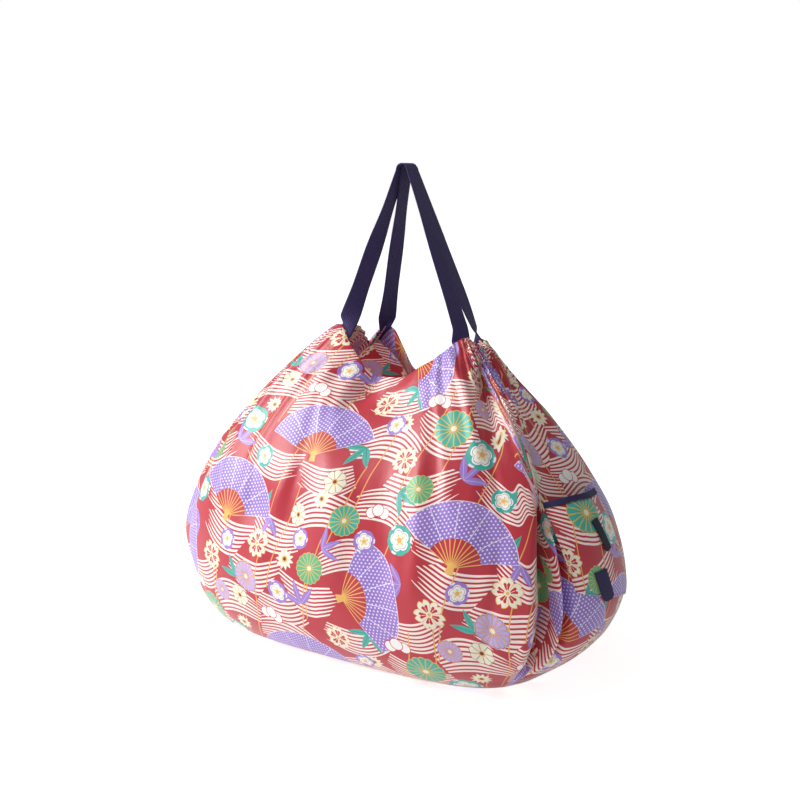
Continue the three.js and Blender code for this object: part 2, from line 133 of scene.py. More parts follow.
# Gathers where the mouth is drawn in: around which angle, over how many degrees
gathers = [
    dict(angle=-10, reach=34, wave=5.2, depth=4.0, crumple=4.2, start=0.77),
    dict(angle=180, reach=44, wave=6.2, depth=2.4, crumple=0.8, start=0.84),
    dict(angle=62, reach=20, wave=5.4, depth=1.6, crumple=0.6, start=0.88),
]
gathering = {"ease": 0.8, "wander": 2.1, "wanderTurns": 7.3, "lean": 6}
# The two waves whose product crumples the gathers: speed around, speed upwards and start
crumples = ((0.9, 95, 0.0), (1.3, -71, 2.0))


def smoothCurve(xs, ys):
    # a curve through the points that never overshoots them
    xs = np.asarray(xs, float)
    ys = np.asarray(ys, float)
    step = np.diff(xs)
    rise = np.diff(ys) / step
    slope = np.zeros(len(xs))
    for i in range(1, len(xs) - 1):
        if rise[i - 1] * rise[i] > 0:
            before = 2 * step[i] + step[i - 1]
            after = step[i] + 2 * step[i - 1]
            slope[i] = (before + after) / (before / rise[i - 1] + after / rise[i])
    slope[0] = rise[0]
    slope[-1] = rise[-1]

    def curve(x):
        x = np.clip(x, xs[0], xs[-1])
        i = np.clip(np.searchsorted(xs, x) - 1, 0, len(step) - 1)
        t = (x - xs[i]) / step[i]
        keep = (1 + 2 * t) * (1 - t) ** 2
        lead = t * (1 - t) ** 2 * step[i] * slope[i]
        tail = t * t * (t - 1) * step[i] * slope[i + 1]
        return keep * ys[i] + lead + (1 - keep) * ys[i + 1] + tail

    return curve


def smoothStep(low, high, x):
    t = np.clip((x - low) / (high - low), 0, 1)
    return t * t * (3 - 2 * t)


def signedPower(x, power):
    return np.sign(x) * np.abs(x) ** power


def unit(vectors):
    return vectors / np.linalg.norm(vectors, axis=-1, keepdims=True)


def column(name):
    return smoothCurve([row["up"] for row in sections], [row[name] for row in sections])


shapeOf = {name: column(name) for name in ("length", "depth", "middle", "taper", "square")}
rimLoop = [(angle + turn, height) for turn in (-360, 0, 360) for angle, height in rimHeights.items()]
rimHeight = smoothCurve([point[0] for point in rimLoop], [point[1] for point in rimLoop])
for fold in folds + creases:
    fold["line"] = smoothCurve([point[0] for point in fold["path"]], [point[1] for point in fold["path"]])


def turnFrom(angle, line):
    return (angle - line + 180) % 360 - 180


def foldDepth(angle, up, rows):
    depth = np.zeros(np.broadcast(angle, up).shape)
    for fold in rows:
        fade = smoothStep(fold["low"], fold["low"] + foldFade["low"], up)
        fade = fade * (1 - smoothStep(fold["top"] - foldFade["top"], fold["top"], up))
        away = turnFrom(angle, fold["line"](up))
        if "reach" in fold:
            shape = np.tanh(away / fold["width"]) * np.exp(-((away / fold["reach"]) ** 2))
        else:
            shape = np.exp(-((away / fold["width"]) ** 2))
        depth = depth + fold["depth"] * fade * shape
    return depth


def gatherDepth(angle, up):
    depth = np.zeros(np.broadcast(angle, up).shape)
    for row in gathers:
        away = turnFrom(angle, row["angle"])
        share = smoothStep(row["start"], 1, up) ** gathering["ease"]
        share = np.exp(-((away / row["reach"]) ** 4)) * share
        wander = gathering["wander"] * np.sin(np.radians(away * gathering["wanderTurns"]))
        wander = wander + gathering["lean"] * (1 - up)
        depth = depth + row["depth"] * share * np.sin(2 * np.pi * (away + wander) / row["wave"])
        cross = 1
        for around, upwards, start in crumples:
            cross = cross * np.sin(away * around + up * upwards + start)
        depth = depth + row["crumple"] * share * cross
    return depth


def wallPoint(angle, up, deepest=-1000.0, fine=False):
    # point of the outer face of the wall; folds deeper than deepest are bridged
    angle = np.asarray(angle, float)
    up = np.asarray(up, float)
    power = 2 / shapeOf["square"](up)
    cosine = np.cos(np.radians(angle))
    sine = np.sin(np.radians(angle))
    along = signedPower(cosine, power)
    over = signedPower(sine, power)
    length = shapeOf["length"](up) * bag["length"] / 2
    depth = shapeOf["depth"](up) * bag["depth"] / 2 * (1 - shapeOf["taper"](up) * along)
    normalX = signedPower(cosine, 2 - power) / length
    normalY = signedPower(sine, 2 - power) / depth
    size = np.hypot(normalX, normalY)
    push = np.maximum(foldDepth(angle, up, folds), deepest)
    if fine:
        push = push + foldDepth(angle, up, creases) + gatherDepth(angle, up)
    lift = smoothStep(bag["rimFrom"], 1, up) ** bag["rimEase"]
    return np.stack([
        shapeOf["middle"](up) + length * along + normalX / size * push + shift[0],
        depth * over + normalY / size * push + shift[1],
        bag["height"] * up + lift * (rimHeight(angle % 360) - bag["height"]) + 0 * angle,
    ], -1)


def wallNormal(angle, up, deepest=-1000.0, fine=False):
    step = bag["normalStep"]
    top = np.minimum(up + step, 1)
    around = wallPoint(angle + 1, up, deepest, fine) - wallPoint(angle - 1, up, deepest, fine)
    rise = wallPoint(angle, top, deepest, fine) - wallPoint(angle, top - 2 * step, deepest, fine)
    return unit(np.cross(around, rise))


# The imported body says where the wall's own centre lies in the frame
shift = np.zeros(2)
ownLow = wallPoint(*np.meshgrid(np.arange(0, 360, 0.5), np.linspace(0, 1, 101))).reshape(-1, 3).min(0)
shift = np.array(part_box("bag_body")[0])[:2] / mm - ownLow[:2]
print("wall shift", shift.round(2))

# Camera at the photograph's angle
camera = {
    "turn": 32.0, "yaw": -0.2, "down": 11.36, "distance": 1420, "height": 615, "focal": 1100,
    "picture": 800, "sensor": 36,
}


def makeCamera():
    data = bpy.data.cameras.new("camera")
    data.sensor_width = camera["sensor"]
    data.lens = camera["focal"] / camera["picture"] * data.sensor_width
    eye = bpy.data.objects.new("camera", data)
    bpy.context.collection.objects.link(eye)
    turn = math.radians(camera["turn"])
    aim = math.radians(camera["turn"] + camera["yaw"])
    down = math.radians(camera["down"])
    eye.location = Vector((
        math.sin(turn) * camera["distance"] + shift[0],
        -math.cos(turn) * camera["distance"] + shift[1],
        camera["height"],
    )) * mm
    back = Vector((
        math.sin(aim) * math.cos(down),
        -math.cos(aim) * math.cos(down),
        math.sin(down),
    ))
    eye.rotation_mode = "QUATERNION"
    eye.rotation_quaternion = (-back).to_track_quat("-Z", "Y")
    bpy.context.scene.camera = eye


makeCamera()

# Lamps: where each stands around the bag, in degrees from the front towards +X
lamps = [
    dict(name="key", turn=-50, up=27, away=2.2, size=1.2, power=46, tint=(1.0, 0.99, 0.97)),
    dict(name="fill", turn=25, up=12, away=2.8, size=2.4, power=1.8, tint=(0.97, 0.98, 1.0)),
    dict(name="top", turn=-16, up=62, away=2.2, size=1.2, power=7, tint=(1.0, 1.0, 1.0)),
]
studio = {
    "light": 0.26, "floor": 0.88, "nearGlow": 0.78, "farGlow": 1.0, "glowFrom": 0.5, "glowTo": 1.8,
    "bounce": 0.26, "floorReach": 9.0, "floorRoughness": 0.9, "aimHeight": 0.25,
}


def makeFloorMaterial():
    # pale, and white to the camera away from the bag; a share of that glow also lights the bag
    pale = bpy.data.materials.new("floor")
    pale.use_nodes = True
    tree = pale.node_tree
    shader = tree.nodes["Principled BSDF"]
    shader.inputs["Base Color"].default_value = (studio["floor"], studio["floor"], studio["floor"], 1)
    shader.inputs["Roughness"].default_value = studio["floorRoughness"]
    shader.inputs["Emission Color"].default_value = (1, 1, 1, 1)
    place = tree.nodes.new("ShaderNodeTexCoord")
    away = tree.nodes.new("ShaderNodeVectorMath")
    away.operation = "LENGTH"
    glow = tree.nodes.new("ShaderNodeMapRange")
    glow.interpolation_type = "SMOOTHSTEP"
    glow.inputs["From Min"].default_value = studio["glowFrom"]
    glow.inputs["From Max"].default_value = studio["glowTo"]
    glow.inputs["To Min"].default_value = studio["nearGlow"]
    glow.inputs["To Max"].default_value = studio["farGlow"]
    seen = tree.nodes.new("ShaderNodeLightPath")
    share = tree.nodes.new("ShaderNodeMapRange")
    share.inputs["To Min"].default_value = studio["bounce"]
    strength = tree.nodes.new("ShaderNodeMath")
    strength.operation = "MULTIPLY"
    tree.links.new(place.outputs["Object"], away.inputs[0])
    tree.links.new(away.outputs["Value"], glow.inputs["Value"])
    tree.links.new(glow.outputs["Result"], strength.inputs[0])
    tree.links.new(seen.outputs["Is Camera Ray"], share.inputs["Value"])
    tree.links.new(share.outputs["Result"], strength.inputs[1])
    tree.links.new(strength.outputs[0], shader.inputs["Emission Strength"])
    return pale


def makeStage():
    for lamp in lamps:
        data = bpy.data.lights.new(lamp["name"], "AREA")
        data.energy = lamp["power"]
        data.size = lamp["size"]
        data.color = lamp["tint"]
        light = bpy.data.objects.new(lamp["name"], data)
        bpy.context.collection.objects.link(light)
        turn = math.radians(lamp["turn"])
        up = math.radians(lamp["up"])
        back = Vector((math.sin(turn) * math.cos(up), -math.cos(turn) * math.cos(up), math.sin(up)))
        light.location = back * lamp["away"] + Vector((0, 0, studio["aimHeight"]))
        light.rotation_euler = (-back).to_track_quat("-Z", "Y").to_euler()
    # the backdrop is white, and its light on the bag is softer
    world = bpy.data.worlds.new("studio")
    world.use_nodes = True
    tree = world.node_tree
    background = tree.nodes["Background"]
    background.inputs["Color"].default_value = (1, 1, 1, 1)
    seen = tree.nodes.new("ShaderNodeLightPath")
    strength = tree.nodes.new("ShaderNodeMix")
    strength.inputs[2].default_value = studio["light"]
    strength.inputs[3].default_value = 1.0
    tree.links.new(seen.outputs["Is Camera Ray"], strength.inputs[0])
    tree.links.new(strength.outputs[0], background.inputs["Strength"])
    bpy.context.scene.world = world
    bpy.context.scene.view_settings.view_transform = "Standard"
    mesh = bpy.data.meshes.new("floor")
    reach = studio["floorReach"]
    mesh.from_pydata([(-reach, -reach, 0), (reach, -reach, 0), (reach, reach, 0), (-reach, reach, 0)], [],
                     [(0, 1, 2, 3)])
    floor = bpy.data.objects.new("floor", mesh)
    bpy.context.collection.objects.link(floor)
    mesh.materials.append(makeFloorMaterial())


makeStage()
print("camera and studio ready")


class Wire:
    # a shader socket that can be written into a formula
    def __init__(self, tree, socket):
        self.tree = tree
        self.socket = socket

    def __add__(self, other):
        return calc("ADD", self, other)

    def __radd__(self, other):
        return calc("ADD", other, self)

    def __sub__(self, other):
        return calc("SUBTRACT", self, other)

    def __rsub__(self, other):
        return calc("SUBTRACT", other, self)

    def __mul__(self, other):
        return calc("MULTIPLY", self, other)

    def __rmul__(self, other):
        return calc("MULTIPLY", other, self)

    def __truediv__(self, other):
        return calc("DIVIDE", self, other)

    def __lt__(self, other):
        return calc("LESS_THAN", self, other)

    def __gt__(self, other):
        return calc("GREATER_THAN", self, other)


def addNode(kind, inputs, settings=None):
    # a node in the tree that the first wire belongs to; inputs are keyed by socket number or name
    tree = next(value.tree for value in inputs.values() if isinstance(value, Wire))
    node = tree.nodes.new(kind)
    for name, value in (settings or {}).items():
        setattr(node, name, value)
    for slot, value in inputs.items():
        if isinstance(value, Wire):
            tree.links.new(value.socket, node.inputs[slot])
        else:
            node.inputs[slot].default_value = value
    return node


def calc(operation, *values):
    node = addNode("ShaderNodeMath", dict(enumerate(values)), {"operation": operation})
    return Wire(node.id_data, node.outputs[0])


def vectorCalc(operation, *values):
    node = addNode("ShaderNodeVectorMath", dict(enumerate(values)), {"operation": operation})
    result = 1 if operation in ("LENGTH", "DISTANCE", "DOT_PRODUCT") else 0
    return Wire(node.id_data, node.outputs[result])


def scaled(vector, factor):
    node = addNode("ShaderNodeVectorMath", {0: vector, 3: factor}, {"operation": "SCALE"})
    return Wire(node.id_data, node.outputs[0])


def absolute(value):
    return calc("ABSOLUTE", value)


def fraction(value):
    return calc("FRACT", value)


def both(*masks):
    result = masks[0]
    for mask in masks[1:]:
        result = result * mask
    return result


def either(*masks):
    result = masks[0]
    for mask in masks[1:]:
        result = calc("MAXIMUM", result, mask)
    return result


def split(vector):
    node = addNode("ShaderNodeSeparateXYZ", {0: vector})
    return [Wire(node.id_data, socket) for socket in node.outputs]


def turned(vector, angle):
    inputs = {"Vector": vector, "Angle": angle}
    node = addNode("ShaderNodeVectorRotate", inputs, {"rotation_type": "Z_AXIS"})
    return Wire(node.id_data, node.outputs[0])


def mixVector(factor, first, second):
    node = addNode("ShaderNodeMix", {0: factor, 4: first, 5: second}, {"data_type": "VECTOR"})
    return Wire(node.id_data, node.outputs[1])


def mixColour(factor, first, second):
    node = addNode("ShaderNodeMix", {0: factor, 6: first, 7: second}, {"data_type": "RGBA"})
    return Wire(node.id_data, node.outputs[2])


def newGroup(name, inputs, outputs):
    # a shader node group; returns it, its input wires and a function that fills an output
    group = bpy.data.node_groups.new(name, "ShaderNodeTree")
    for label, kind, value in inputs:
        socket = group.interface.new_socket(label, in_out="INPUT", socket_type=kind)
        if value is not None:
            socket.default_value = value
    for label, kind in outputs:
        group.interface.new_socket(label, in_out="OUTPUT", socket_type=kind)
    enter = group.nodes.new("NodeGroupInput")
    leave = group.nodes.new("NodeGroupOutput")
    wires = {label: Wire(group, enter.outputs[label]) for label, kind, value in inputs}

    def give(label, wire):
        group.links.new(wire.socket, leave.inputs[label])

    return group, wires, give


def useGroup(tree, group, **inputs):
    node = tree.nodes.new("ShaderNodeGroup")
    node.node_tree = group
    for label, value in inputs.items():
        if isinstance(value, Wire):
            tree.links.new(value.socket, node.inputs[label])
        else:
            node.inputs[label].default_value = value
    return {socket.name: Wire(tree, socket) for socket in node.outputs}


def paint(red, green, blue):
    # an sRGB colour from 0 to 255 as the linear colour that a shader takes
    def linear(value):
        value = value / 255
        return value / 12.92 if value <= 0.04045 else ((value + 0.055) / 1.055) ** 2.4

    return (linear(red), linear(green), linear(blue), 1.0)


# The print. It repeats over the cloth, and each motif has a table of where it lies in one repeat:
# x and y in millimetres, turn in degrees, size, and tint, which picks between its colours. A stem's
# size is its length in millimetres, and its tint is how much it bends. Each motif's function gives
# where it covers the cloth, and in which colour.
ink = {
    "ground": paint(188, 50, 64),
    "wave": paint(253, 234, 228),
    "stem": paint(240, 172, 92),
    "lavender": paint(158, 126, 208),
    "deepLavender": paint(134, 104, 190),
    "paleLavender": paint(198, 178, 224),
    "dot": paint(238, 230, 252),
    "teal": paint(70, 178, 166),
    "green": paint(96, 184, 134),
    "deepTeal": paint(40, 138, 128),
    "cream": paint(244, 236, 214),
    "white": paint(252, 248, 246),
    "gold": paint(236, 184, 98),
    "khaki": paint(150, 140, 104),
    "red": paint(196, 40, 54),
    "wine": paint(120, 24, 40),
}
repeat = {"width": 345.0, "height": 315.0}
motifs = {
    "waves": [
        (26, 196, 4, 0.9, 0), (112, 186, -6, 0.85, 0), (66, 158, 5, 0.85, 0), (182, 60, -8, 1.0, 1),
        (236, 24, 10, 0.95, 0), (262, 98, -10, 0.9, 0), (320, 130, 8, 0.95, 1), (258, 166, 12, 0.8, 0),
        (120, 282, 8, 0.95, 1), (56, 258, -8, 0.85, 0), (210, 296, -12, 0.85, 1), (20, 30, -10, 0.8, 0),
        (118, 20, 8, 0.8, 0), (318, 236, -6, 0.9, 0), (176, 138, 6, 0.8, 0), (66, 106, -8, 0.9, 1),
        (300, 282, 8, 0.8, 0), (168, 232, 10, 0.8, 1),
    ],
    "stems": [
        (24, 150, -12, 150, 0.0003), (122, 222, -14, 150, -0.0004), (176, 40, -10, 130, 0.0003),
        (236, 90, -13, 150, -0.0002), (218, 258, -12, 150, 0.0002), (302, 200, -14, 150, 0.0003),
        (276, 110, -9, 160, -0.0003), (64, 246, -12, 140, 0.0002), (100, 150, -15, 120, 0.0002),
        (330, 60, -10, 120, 0.0004), (46, 4, -12, 120, -0.0003), (152, 300, -14, 110, 0.0002),
    ],
    "sprigs": [
        (150, 66, 150, 1.0, 0), (102, 168, 14, 1.0, 1), (22, 272, -20, 1.0, 0), (248, 222, 100, 0.9, 1),
        (296, 40, -36, 1.0, 1), (196, 148, 150, 0.9, 0), (40, 268, 160, 0.9, 1), (338, 176, 24, 0.9, 0),
        (220, 12, -110, 0.9, 0), (134, 246, -60, 0.85, 1),
    ],
    "daisies": [
        (78, 222, 0, 1.0, 0), (330, 104, 20, 0.95, 0), (192, 100, 10, 0.9, 0), (120, 306, 30, 0.9, 0),
    ],
    "cherries": [
        (30, 232, 12, 1.0, 0), (212, 52, -16, 0.95, 0), (286, 192, 30, 1.0, 0), (148, 130, -8, 0.9, 0),
    ],
    "blossoms": [
        (132, 14, 0, 1.0, 0), (338, 150, 24, 0.95, 0), (84, 280, 10, 0.95, 0),
    ],
    "plums": [
        (46, 140, -8, 1.0, 0), (232, 140, 8, 1.0, 0), (196, 300, 6, 0.9, 0),
    ],
    "chrysanthemums": [
        (262, 104, 4, 1.25, 0), (118, 218, 9, 0.98, 0.5), (246, 22, 0, 0.85, 0.5), (12, 182, 6, 1.0, 1),
        (156, 284, 2, 0.92, 0), (300, 146, 3, 0.72, 1),
    ],
    "roundels": [
        (308, 76, 10, 1.1, 0), (178, 96, -14, 0.72, 1), (234, 272, 20, 0.95, 0), (66, 176, 0, 0.8, 1),
        (186, 262, 16, 0.72, 1), (350, 26, -6, 0.8, 0), (96, 252, 8, 0.7, 1), (318, 222, 8, 0.72, 1),
    ],
    "fans": [
        (80, 80, 6, 1.0, 0), (205, 196, -78, 0.98, 0), (312, 290, -10, 1.0, 0),
    ],
}


def inRepeat(cloth, x, y):
    # the offset from the nearest of the places that repeat x, y
    half = (repeat["width"] / 2, repeat["height"] / 2, 1.0)
    low = (-half[0], -half[1], -1.0)
    away = vectorCalc("SUBTRACT", cloth, (x, y, 0.0))
    return vectorCalc("WRAP", away, half, low)


def nearestMotif(cloth, rows):
    # the offset from the nearest motif, turned upright and at size 1, and that motif's tint
    nearest = None
    for x, y, turn, size, tint in rows:
        away = inRepeat(cloth, x, y)
        distance = vectorCalc("LENGTH", away) * (1 / size)
        facts = (-math.radians(turn), 1 / size, tint)
        if nearest is None:
            nearest = distance
            offset = away
            chosen = facts
        else:
            closer = distance < nearest
            offset = mixVector(closer, offset, away)
            chosen = mixVector(closer, chosen, facts)
            nearest = calc("MINIMUM", nearest, distance)
    turn, factor, tint = split(chosen)
    return scaled(turned(offset, turn), factor), tint


def polar(place):
    # distance, and the angle from +Y clockwise
    x, y, z = split(place)
    return vectorCalc("LENGTH", place), calc("ARCTAN2", x, y)


def spoke(angle, count):
    # 0 on each of the count spokes, 0.5 halfway between them
    return absolute(fraction(angle * (count / (2 * math.pi)) + 0.5) - 0.5)


wave = {
    "half": 84.0, "bend": 14.0, "turns": 2.7, "pitch": 6.2, "height": 23.0, "thick": 0.3, "seedStep": 17,
    "openHeight": 1.08, "closing": 0.5, "shortest": 0.62, "lengthSpread": 0.42,
}


def drawWaves(cloth, rows):
    place, tint = nearestMotif(cloth, rows)
    x, y, z = split(place)
    along = x * (1 / wave["half"])
    hump = calc("COSINE", along * wave["turns"]) * wave["bend"]
    rise = y - hump * (tint * 2 - 1)
    spread = rise / (wave["openHeight"] - along * along * wave["closing"])
    line = spread * (1 / wave["pitch"])
    seed = calc("FLOOR", line) + tint * wave["seedStep"]
    noise = addNode("ShaderNodeTexWhiteNoise", {"W": seed}, {"noise_dimensions": "1D"})
    reach = Wire(cloth.tree, noise.outputs["Value"]) * wave["lengthSpread"] + wave["shortest"]
    tip = along / reach
    thick = calc("SQRT", calc("MAXIMUM", 1 - tip * tip, 0.0)) * wave["thick"]
    stripe = absolute(fraction(line) - 0.5) < thick
    return both(stripe, absolute(spread) < wave["height"]), ink["wave"]


stemHalfWidth = 0.75


def drawStems(cloth, rows):
    mask = None
    for x, y, turn, length, bend in rows:
        across, along, z = split(turned(inRepeat(cloth, x, y), -math.radians(turn)))
        aside = absolute(across + along * along * bend)
        stem = both(aside < stemHalfWidth, absolute(along) < length / 2)
        mask = stem if mask is None else either(mask, stem)
    return mask, ink["stem"]


sprig = {"leaf": 34.0, "width": 4.6, "spread": 0.95, "widestEarly": 0.8, "rib": 0.45, "ribLength": 0.85}


def drawSprigs(cloth, rows):
    place, tint = nearestMotif(cloth, rows)
    radius, angle = polar(place)
    nearest = calc("MINIMUM", calc("MAXIMUM", calc("ROUND", angle * (1 / sprig["spread"])), -1.0), 1.0)
    aside = angle - nearest * sprig["spread"]
    along = radius * calc("COSINE", aside)
    across = absolute(radius * calc("SINE", aside))
    share = along * (1 / sprig["leaf"])
    swell = calc("POWER", calc("MAXIMUM", share, 0.0), sprig["widestEarly"]) * math.pi
    edge = calc("SINE", swell) * sprig["width"]
    mask = both(across < edge, share > 0.0, share < 1.0)
    rib = both(across < sprig["rib"], share < sprig["ribLength"])
    fill = mixColour(tint, ink["teal"], ink["lavender"])
    light = mixColour(tint, ink["deepTeal"], ink["paleLavender"])
    return mask, mixColour(rib, fill, light)


daisy = {
    "petals": 11, "radius": 14.5, "petal": 2.9, "swing": 0.86, "root": 0.42, "disc": 3.6, "ring": 4.4,
    "centre": 2.4,
}


def drawDaisies(cloth, rows):
    place, tint = nearestMotif(cloth, rows)
    radius, angle = polar(place)
    petals = daisy["petals"]
    aside = spoke(angle, petals) * radius * (2 * math.pi / petals)
    share = radius * (1 / daisy["radius"])
    swell = calc("MINIMUM", share, 1.0) * math.pi * daisy["swing"] + daisy["root"]
    edge = calc("SINE", swell) * daisy["petal"]
    fill = mixColour(radius < daisy["ring"], ink["cream"], ink["gold"])
    fill = mixColour(radius < daisy["centre"], fill, ink["wine"])
    return either(both(aside < edge, share < 1.0), radius < daisy["disc"]), fill


def petalRadius(angle, count, size, depth):
    # outline of a flower of round petals
    bump = calc("SQRT", absolute(calc("COSINE", angle * (count / 2))))
    return (bump * depth + (1 - depth)) * size


cherry = {
    "petals": 5, "radius": 20.0, "roundness": 0.42, "notch": 0.12, "notchDepth": 1.9, "heartFrom": 0.2,
    "heartTo": 0.64, "heartHalf": 0.3, "stamen": 0.035, "stamenTo": 0.58, "edge": 0.94, "gap": 0.47,
    "gapFrom": 0.3, "centre": 2.2,
}


def drawCherries(cloth, rows):
    place, tint = nearestMotif(cloth, rows)
    radius, angle = polar(place)
    side = spoke(angle, cherry["petals"])
    notch = calc("MAXIMUM", cherry["notch"] - side, 0.0) * cherry["notchDepth"]
    whole = petalRadius(angle, cherry["petals"], cherry["radius"], cherry["roundness"])
    outline = whole - notch * cherry["radius"]
    share = radius / outline
    heart = both(share > cherry["heartFrom"], share < cherry["heartTo"], side < cherry["heartHalf"])
    stamen = both(side < cherry["stamen"], share < cherry["stamenTo"])
    line = either(share > cherry["edge"], both(side > cherry["gap"], share > cherry["gapFrom"]))
    fill = mixColour(heart, ink["cream"], ink["red"])
    fill = mixColour(stamen, fill, ink["cream"])
    fill = mixColour(line, fill, ink["gold"])
    fill = mixColour(radius < cherry["centre"], fill, ink["gold"])
    return radius < outline, fill


blossom = {
    "petals": 8, "radius": 15.5, "roundness": 0.2, "edge": 0.7, "gap": 0.45, "gapFrom": 5.0, "ring": 4.2,
    "centre": 2.4,
}


def drawBlossoms(cloth, rows):
    place, tint = nearestMotif(cloth, rows)
    radius, angle = polar(place)
    petals = blossom["petals"]
    outline = petalRadius(angle, petals, blossom["radius"], blossom["roundness"])
    gap = (0.5 - spoke(angle, petals)) * radius * (2 * math.pi / petals)
    between = both(gap < blossom["gap"], radius > blossom["gapFrom"])
    line = either(radius > outline - blossom["edge"], between)
    fill = mixColour(line, ink["cream"], ink["khaki"])
    fill = mixColour(radius < blossom["ring"], fill, ink["gold"])
    fill = mixColour(radius < blossom["centre"], fill, ink["wine"])
    return radius < outline, fill


plum = {"places": ((-9.5, -2.0, 8.0), (9.5, -3.0, 8.0), (0.0, 1.5, 8.6)), "edge": 1.0}


def drawPlums(cloth, rows):
    # a cluster of three round white plums
    place, tint = nearestMotif(cloth, rows)
    mask = None
    fill = None
    for x, y, size in plum["places"]:
        away = vectorCalc("DISTANCE", place, (x, y, 0.0))
        disc = away < size
        line = away > size - plum["edge"]
        shade = mixColour(line, ink["white"], ink["red"])
        fill = shade if fill is None else mixColour(disc, fill, shade)
        mask = disc if mask is None else either(mask, disc)
    return mask, fill


chrysanthemum = {
    "petals": 16, "radius": 21.0, "roundness": 0.09, "line": 0.48, "edge": 0.8, "shade": 1.05,
    "shadeEdge": 2.0, "ring": 3.6, "centre": 2.9,
}


def drawChrysanthemums(cloth, rows):
    place, tint = nearestMotif(cloth, rows)
    radius, angle = polar(place)
    petals = chrysanthemum["petals"]
    outline = petalRadius(angle, petals, chrysanthemum["radius"], chrysanthemum["roundness"])
    gap = (0.5 - spoke(angle, petals)) * radius * (2 * math.pi / petals)
    line = either(gap < chrysanthemum["line"], radius > outline - chrysanthemum["edge"])
    border = either(gap < chrysanthemum["shade"], radius > outline - chrysanthemum["shadeEdge"])
    pale = calc("MAXIMUM", tint * 2 - 1, 0.0)
    cool = mixColour(tint * 2, ink["teal"], ink["green"])
    edge = mixColour(pale, ink["green"], ink["lavender"])
    fill = mixColour(border, mixColour(pale, cool, ink["paleLavender"]), edge)
    fill = mixColour(line, fill, ink["gold"])
    fill = mixColour(radius < chrysanthemum["ring"], fill, ink["gold"])
    fill = mixColour(radius < chrysanthemum["centre"], fill, ink["cream"])
    return radius < outline, fill


roundel = {
    "lobes": 8, "radius": 19.5, "lobeDepth": 0.08, "petals": 5, "flower": 12.6, "roundness": 0.36,
    "gleams": 3, "gleamTurn": 0.4, "gleamHalf": 0.1, "gleamFrom": 0.86, "halo": 2.0, "line": 0.1,
    "lineIn": 0.7, "inner": 0.66, "stamen": 0.1, "stamenTo": 7.2, "centre": 3.4,
}


def drawRoundels(cloth, rows):
    place, tint = nearestMotif(cloth, rows)
    radius, angle = polar(place)
    rim = petalRadius(angle, roundel["lobes"], roundel["radius"], roundel["lobeDepth"])
    flower = petalRadius(angle, roundel["petals"], roundel["flower"], roundel["roundness"])
    hue = mixColour(tint, ink["teal"], ink["lavender"])
    gleam = both(spoke(angle + roundel["gleamTurn"], roundel["gleams"]) < roundel["gleamHalf"],
                 radius > rim * roundel["gleamFrom"])
    fill = mixColour(gleam, hue, ink["dot"])
    fill = mixColour(radius < flower + roundel["halo"], fill, ink["white"])
    fill = mixColour(radius < flower + roundel["line"], fill, ink["khaki"])
    fill = mixColour(radius < flower - roundel["lineIn"], fill, ink["white"])
    fill = mixColour(radius < flower * roundel["inner"], fill, ink["cream"])
    stamen = both(spoke(angle, roundel["petals"]) < roundel["stamen"], radius < roundel["stamenTo"])
    fill = mixColour(stamen, fill, ink["gold"])
    fill = mixColour(radius < roundel["centre"], fill, ink["gold"])
    return radius < rim, fill


fan = {
    "radius": 80.0, "leafFrom": 35.0, "half": 68.0, "sticks": 12, "ribs": 5, "dotPitch": 4.7, "dot": 1.12,
    "pivot": 40.0, "dotTurn": 0.6, "rib": 0.42, "edge": 0.8, "stick": 0.6, "stickMargin": 0.03,
    "knob": 4.4, "knobTaper": 0.18, "knobDrop": 1.5, "knobHalf": 5.6,
}


def drawFans(cloth, rows):
    centred, tint = nearestMotif(cloth, rows)
    place = vectorCalc("ADD", centred, (0.0, fan["pivot"], 0.0))
    radius, angle = polar(place)
    half = math.radians(fan["half"])
    inside = absolute(angle) < half
    leaf = both(inside, radius > fan["leafFrom"], radius < fan["radius"])

    def toLine(count):
        step = 2 * half / count
        return absolute(fraction(angle * (1 / step) + count / 2 + 0.5) - 0.5) * radius * step

    # dots in slanting rows, half a step apart
    x, y, z = split(turned(place, fan["dotTurn"]))
    dotRows = y * (1 / fan["dotPitch"])
    offset = fraction(calc("FLOOR", dotRows) * 0.5)
    dotX = fraction(x * (1 / fan["dotPitch"]) + offset) - 0.5
    dotY = fraction(dotRows) - 0.5
    dots = calc("SQRT", dotX * dotX + dotY * dotY) < fan["dot"] / fan["dotPitch"]
    fill = mixColour(radius * (1 / fan["radius"]), ink["deepLavender"], ink["lavender"])
    fill = mixColour(dots, fill, ink["dot"])
    edge = either(toLine(fan["ribs"]) < fan["rib"], radius > fan["radius"] - fan["edge"])
    fill = mixColour(edge, fill, ink["dot"])
    sticks = both(absolute(angle) < half + fan["stickMargin"], toLine(fan["sticks"]) < fan["stick"],
                  radius < fan["leafFrom"])
    x, y, z = split(place)
    knob = both(absolute(x) < fan["knob"] - y * fan["knobTaper"],
                absolute(y + fan["knobDrop"]) < fan["knobHalf"])
    # between the sticks only the ground shows
    below = mixColour(either(sticks, knob), ink["ground"], ink["gold"])
    fill = mixColour(leaf, below, fill)
    return either(both(inside, radius < fan["radius"]), sticks, knob), fill


